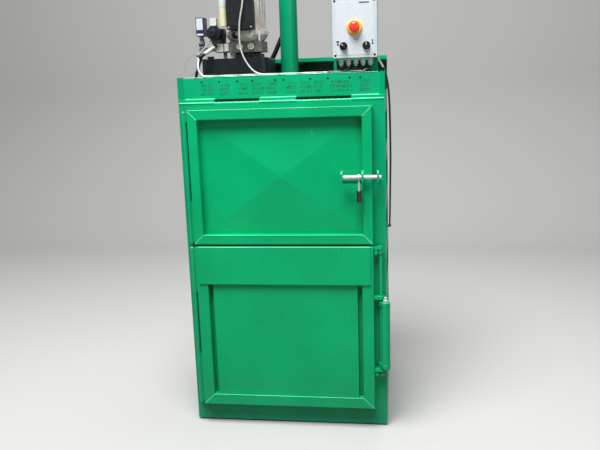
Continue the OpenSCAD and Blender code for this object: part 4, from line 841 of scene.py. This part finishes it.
class BALER_OT_control_panel(bpy.types.Operator):
    """Cover film, screws, pointers and marks, the emergency stop and its collar"""
    bl_idname = "baler.control_panel"
    bl_label = "Control panel"

    def execute(self, context):
        corners = [(x, z) for x in (BOX_MID - 80, BOX_MID + 80) for z in (BOX_Z + 9, BOX_Z + 223)]
        # The film is a rectangle with a quarter circle cut out round each screw
        cut, left, right, low, high = 9, BOX_MID - 78, BOX_MID + 78, BOX_Z + 11, BOX_Z + 221
        turn = np.linspace(np.pi / 2, 0, 8)
        outline = np.vstack([
            np.column_stack([x + cut * np.cos(begin + turn), z + cut * np.sin(begin + turn)])
            for x, z, begin in ((left, low, 0), (right, low, np.pi / 2), (right, high, np.pi),
                                (left, high, 1.5 * np.pi))])
        film = BOX_Y - 0.5
        piece("panel_film", [plate(outline, film, BOX_Y + 0.1)], "label_film", "cabinet", "grey_plastic",
              smooth=False)
        piece("cover_screws", [screw((x, BOX_Y + 2, z), FRONT, 4.2, 2.6) for x, z in corners], *BLACK_PART)
        # Printed marks: a bar at the top, and a dot with a bar beside each selector
        marks = []
        for x0, z0, x1, z1, width in ((21, 215, 56, 215, 4.6), (-72, 64, -66, 64, 7.0),
                                      (71.5, 61, 71.5, 68, 4.2)):
            marks += strokes([((BOX_MID + x0, BOX_Z + z0), (BOX_MID + x1, BOX_Z + z1))], width, film, 0.3)
        marks += [lathe([(0, r), (0.4, r)], (BOX_MID + x, film + 0.05, BOX_Z + z), FRONT, 16)
                  for x, z, r in ((-69, 53, 4.2), (71.5, 54, 4.0))]
        piece("panel_marks", marks, "black_ink", "cabinet", "black_plastic", smooth=False)
        knob_z = BOX_Z + 47
        ring = [(0.2, 15.2), (0.2, 16.2), (1.2, 16.2), (2.0, 15.6), (2.0, 14.4), (0.2, 14.4)]
        knobs = {"left": BOX_MID - 46, "right": BOX_MID + 47}
        for side, slope in (("left", -1), ("right", 0)):
            way = unit(np.array([slope, 1.0]))
            start = np.array([knobs[side], knob_z]) + way * 2
            piece(side + "_pointer", strokes([(start, start + way * 8.5)], 2.6, BOX_Y - 21.95, 0.25),
                  "white_nylon", "selector_" + side, "white_plastic", smooth=False)
        for side, x in knobs.items():
            piece(side + "_bezel", [lathe(ring, (x, film, knob_z), FRONT, 40)], *BLACK_PART)
        stop = (BOX_MID, BOX_Y, BOX_Z + 119)
        collar = [(-30, 11), (-0.2, 11), (-0.2, 31.5), (3, 31.5), (6.2, 29.4), (8, 26.5), (8, 24.6),
                  (6.9, 23.5), (6.9, 12), (8, 11), (8, 7.1), (-23, 7.1)]
        piece("stop_collar", [lathe(collar, stop, FRONT, 56)], "yellow_nylon", "cabinet", "yellow_plastic",
              ("estop_collar",))
        mushroom = [(-16, 7), (14, 7), (14, 12), (15.5, 15.5), (18, 19.6), (21, 21.4), (25, 21.6),
                    (28.5, 20.2), (31, 17.2), (32.4, 12.5), (33, 7), (33, 0.6)]
        piece("stop_button", [lathe(mushroom, stop, FRONT, 56)], "red_nylon", "estop", "red_plastic",
              ("estop_button",))
        return {"FINISHED"}


class BALER_OT_power_pack(bpy.types.Operator):
    """Lid, screws, plugs, caps, fittings and labels of the power pack"""
    bl_idname = "baler.power_pack"
    bl_label = "Power pack"

    def execute(self, context):
        motor_x, motor_y = MOTOR
        lid_y, left, low = motor_y - 141, motor_x - 57, BELL_TOP + 4
        lid = rounded(left - 1.5, low - 1.5, left + 111.5, low + 141.5, 7)
        piece("terminal_lid", [plate(lid, lid_y, lid_y + 6)], *BLACK_PART, bevel_mm=1.6)
        bright = [screw((x, lid_y, z), FRONT, 3.6, 2.4)
                  for x in (left + 7, left + 103) for z in (low + 7, low + 133)]
        plug = [(0, 15), (1.6, 15), (3, 13.4), (3, 9.8), (0.3, 9.4), (0.3, 6.6), (3, 6), (3, 0.6)]
        cast = [lathe(plug, (motor_x + x, motor_y - 73.9, BLOCK_Z + 23), FRONT) for x in (-21, 28)]
        # Boss and rib cast on the bell flange, and the cap over its drain
        boss = [(0, 18), (7, 17), (11, 13), (13, 7), (13.4, 0.6)]
        cast += [lathe(boss, (motor_x + 28, motor_y - 77, BELL_TOP - 16), FRONT),
                 plate(rounded(motor_x + 61, BELL_TOP - 43, motor_x + 69, BELL_TOP, 2),
                       motor_y - 66, motor_y - 42)]
        piece("casting_details", cast, "aluminium_painted_paler", "cabinet", "cast_aluminium")
        cap = [(0, 15.5), (8, 15.5), (10, 13.5), (10, 0.6)]
        piece("drain_cap", [lathe(cap, (motor_x - 35, motor_y - 75, BELL_TOP - 17), FRONT)], *BLACK_PART)
        bright += [hexagon((motor_x + s * 60, motor_y + t * 60, BELL_TOP - 16), DOWN, 13, 8)
                   for s in (-1, 1) for t in (-1, 1)]
        # Fitting under the pressure switch: a hexagon, and a neck that swells and narrows again
        switch_x, switch_y = -368, -142
        neck = [(0, 7.6), (4, 7.6), (6, 12.5), (10, 15.0), (22, 15.0), (26, 12.0), (36, 9.6), (38.8, 9.6)]
        bright += [hexagon((switch_x, switch_y, BLOCK_Z + 26), UP, 20, 9),
                   lathe(neck, (switch_x, switch_y, BLOCK_Z + 34), UP)]
        piece("bright_fittings", bright, "zinc_plate", "cabinet", "zinc_steel")
        piece("switch_labels", [
            plate(rounded(-373.6, 1756.5, -345.4, 1804.5, 1.5), -193.6, -192.9),
            plate(rounded(-373.6, 1733.0, -344.5, 1740.5, 1.0), -194.5, -193.9)],
              "label_film", "cabinet", "white_plastic", smooth=False)
        piece("ported_faces", [
            plate(rounded(-301, 1661, -265, 1696.5, 1.5), -172, -169.9),
            plate(rounded(-259, 1663, -240, 1694, 1.5), -176, -169.9)],
              "aluminium_painted_paler", "cabinet", "cast_aluminium", smooth=False, bevel_mm=0.8)
        pipe = [(-1, 10), (3, 10), (3.6, 9), (24.5, 9)]
        piece("return_pipe", [lathe(pipe, (-229, -156, TANK_TOP), UP, 24)], *WHITE_PART)
        filler = [(0, 13), (5, 13), (5.5, 15.5), (11, 15.5), (12.5, 14), (12.5, 0.6)]
        piece("filler_cap", [lathe(filler, (-334, -130, TANK_TOP - 0.5), UP, 24)], *BLACK_PART)
        band = [(0, 17.9), (0, 18.4), (26, 18.4), (26, 17.9)]
        piece("capacitor_label", [lathe(band, (motor_x - 79, motor_y - 108, BELL_TOP + 98), UP, 40)],
              "label_film", "cabinet", "white_plastic")
        nut = [(0, 20), (2, 21.5), (4, 20), (4, 13), (5, 12.2), (11, 12.2), (12.4, 10.6), (12.4, 5),
               (10, 4.4), (10, 0.6)]
        piece("solenoid_nut", [lathe(nut, (SOLENOID_X, -205.9, SOLENOID_Z), FRONT, 24)], *BLACK_PART)
        return {"FINISHED"}


class BALER_OT_lock_fasteners(bpy.types.Operator):
    """Rounded crank ends, and the nut and bolt end on top of the lower door's tube handle"""
    bl_idname = "baler.lock_fasteners"
    bl_label = "Lock fasteners"

    def execute(self, context):
        top = (HANDLE_X, HANDLE_Y, 591.8)
        # Rounded ends of the crank plates, over and under the tube
        rim = [(0, 18.6), (0.8, 19.3), (17.6, 19.3), (18.4, 18.6)]
        piece("crank_ends", [lathe(rim, (HANDLE_X, HANDLE_Y, z), UP, 40) for z in (574.1, 294.1)],
              "door_enamel", "door_lock", "door_paint")
        piece("handle_nut", [hexagon(top, UP, 19.6, 11.2, 1.4),
                             lathe([(0, 6.4), (22.6, 6.4), (24, 5)], top, UP, 20)],
              "zinc_plate", "door_lock", "zinc_steel")
        return {"FINISHED"}


class BALER_PT_panel(bpy.types.Panel):
    bl_label = "Baler"
    bl_idname = "BALER_PT_panel"
    bl_space_type = "VIEW_3D"
    bl_region_type = "UI"
    bl_category = "Baler"

    def draw(self, context):
        for name in GROUPS:
            group = getattr(context.scene, name)
            for key in group.__annotations__:
                self.layout.prop(group, key)
        for step in STEPS:
            self.layout.operator(step.bl_idname)


STEPS = (BALER_OT_stage, BALER_OT_finishes, BALER_OT_mains_cord, BALER_OT_cables, BALER_OT_hose,
         BALER_OT_welds, BALER_OT_header_marks, BALER_OT_control_panel, BALER_OT_power_pack,
         BALER_OT_lock_fasteners)
GROUPS = {"baler_stage": BALER_PG_stage, "baler_cables": BALER_PG_cables, "baler_details": BALER_PG_details}


def register():
    for group in (*GROUPS.values(), *STEPS, BALER_PT_panel):
        bpy.utils.register_class(group)
    for name, group in GROUPS.items():
        setattr(bpy.types.Scene, name, bpy.props.PointerProperty(type=group))


def unregister():
    for name in GROUPS:
        delattr(bpy.types.Scene, name)
    for group in (BALER_PT_panel, *reversed(STEPS), *GROUPS.values()):
        bpy.utils.unregister_class(group)


def main():
    register()
    for step in STEPS:
        getattr(bpy.ops.baler, step.bl_idname.removeprefix("baler."))()


if __name__ == "__main__":
    main()
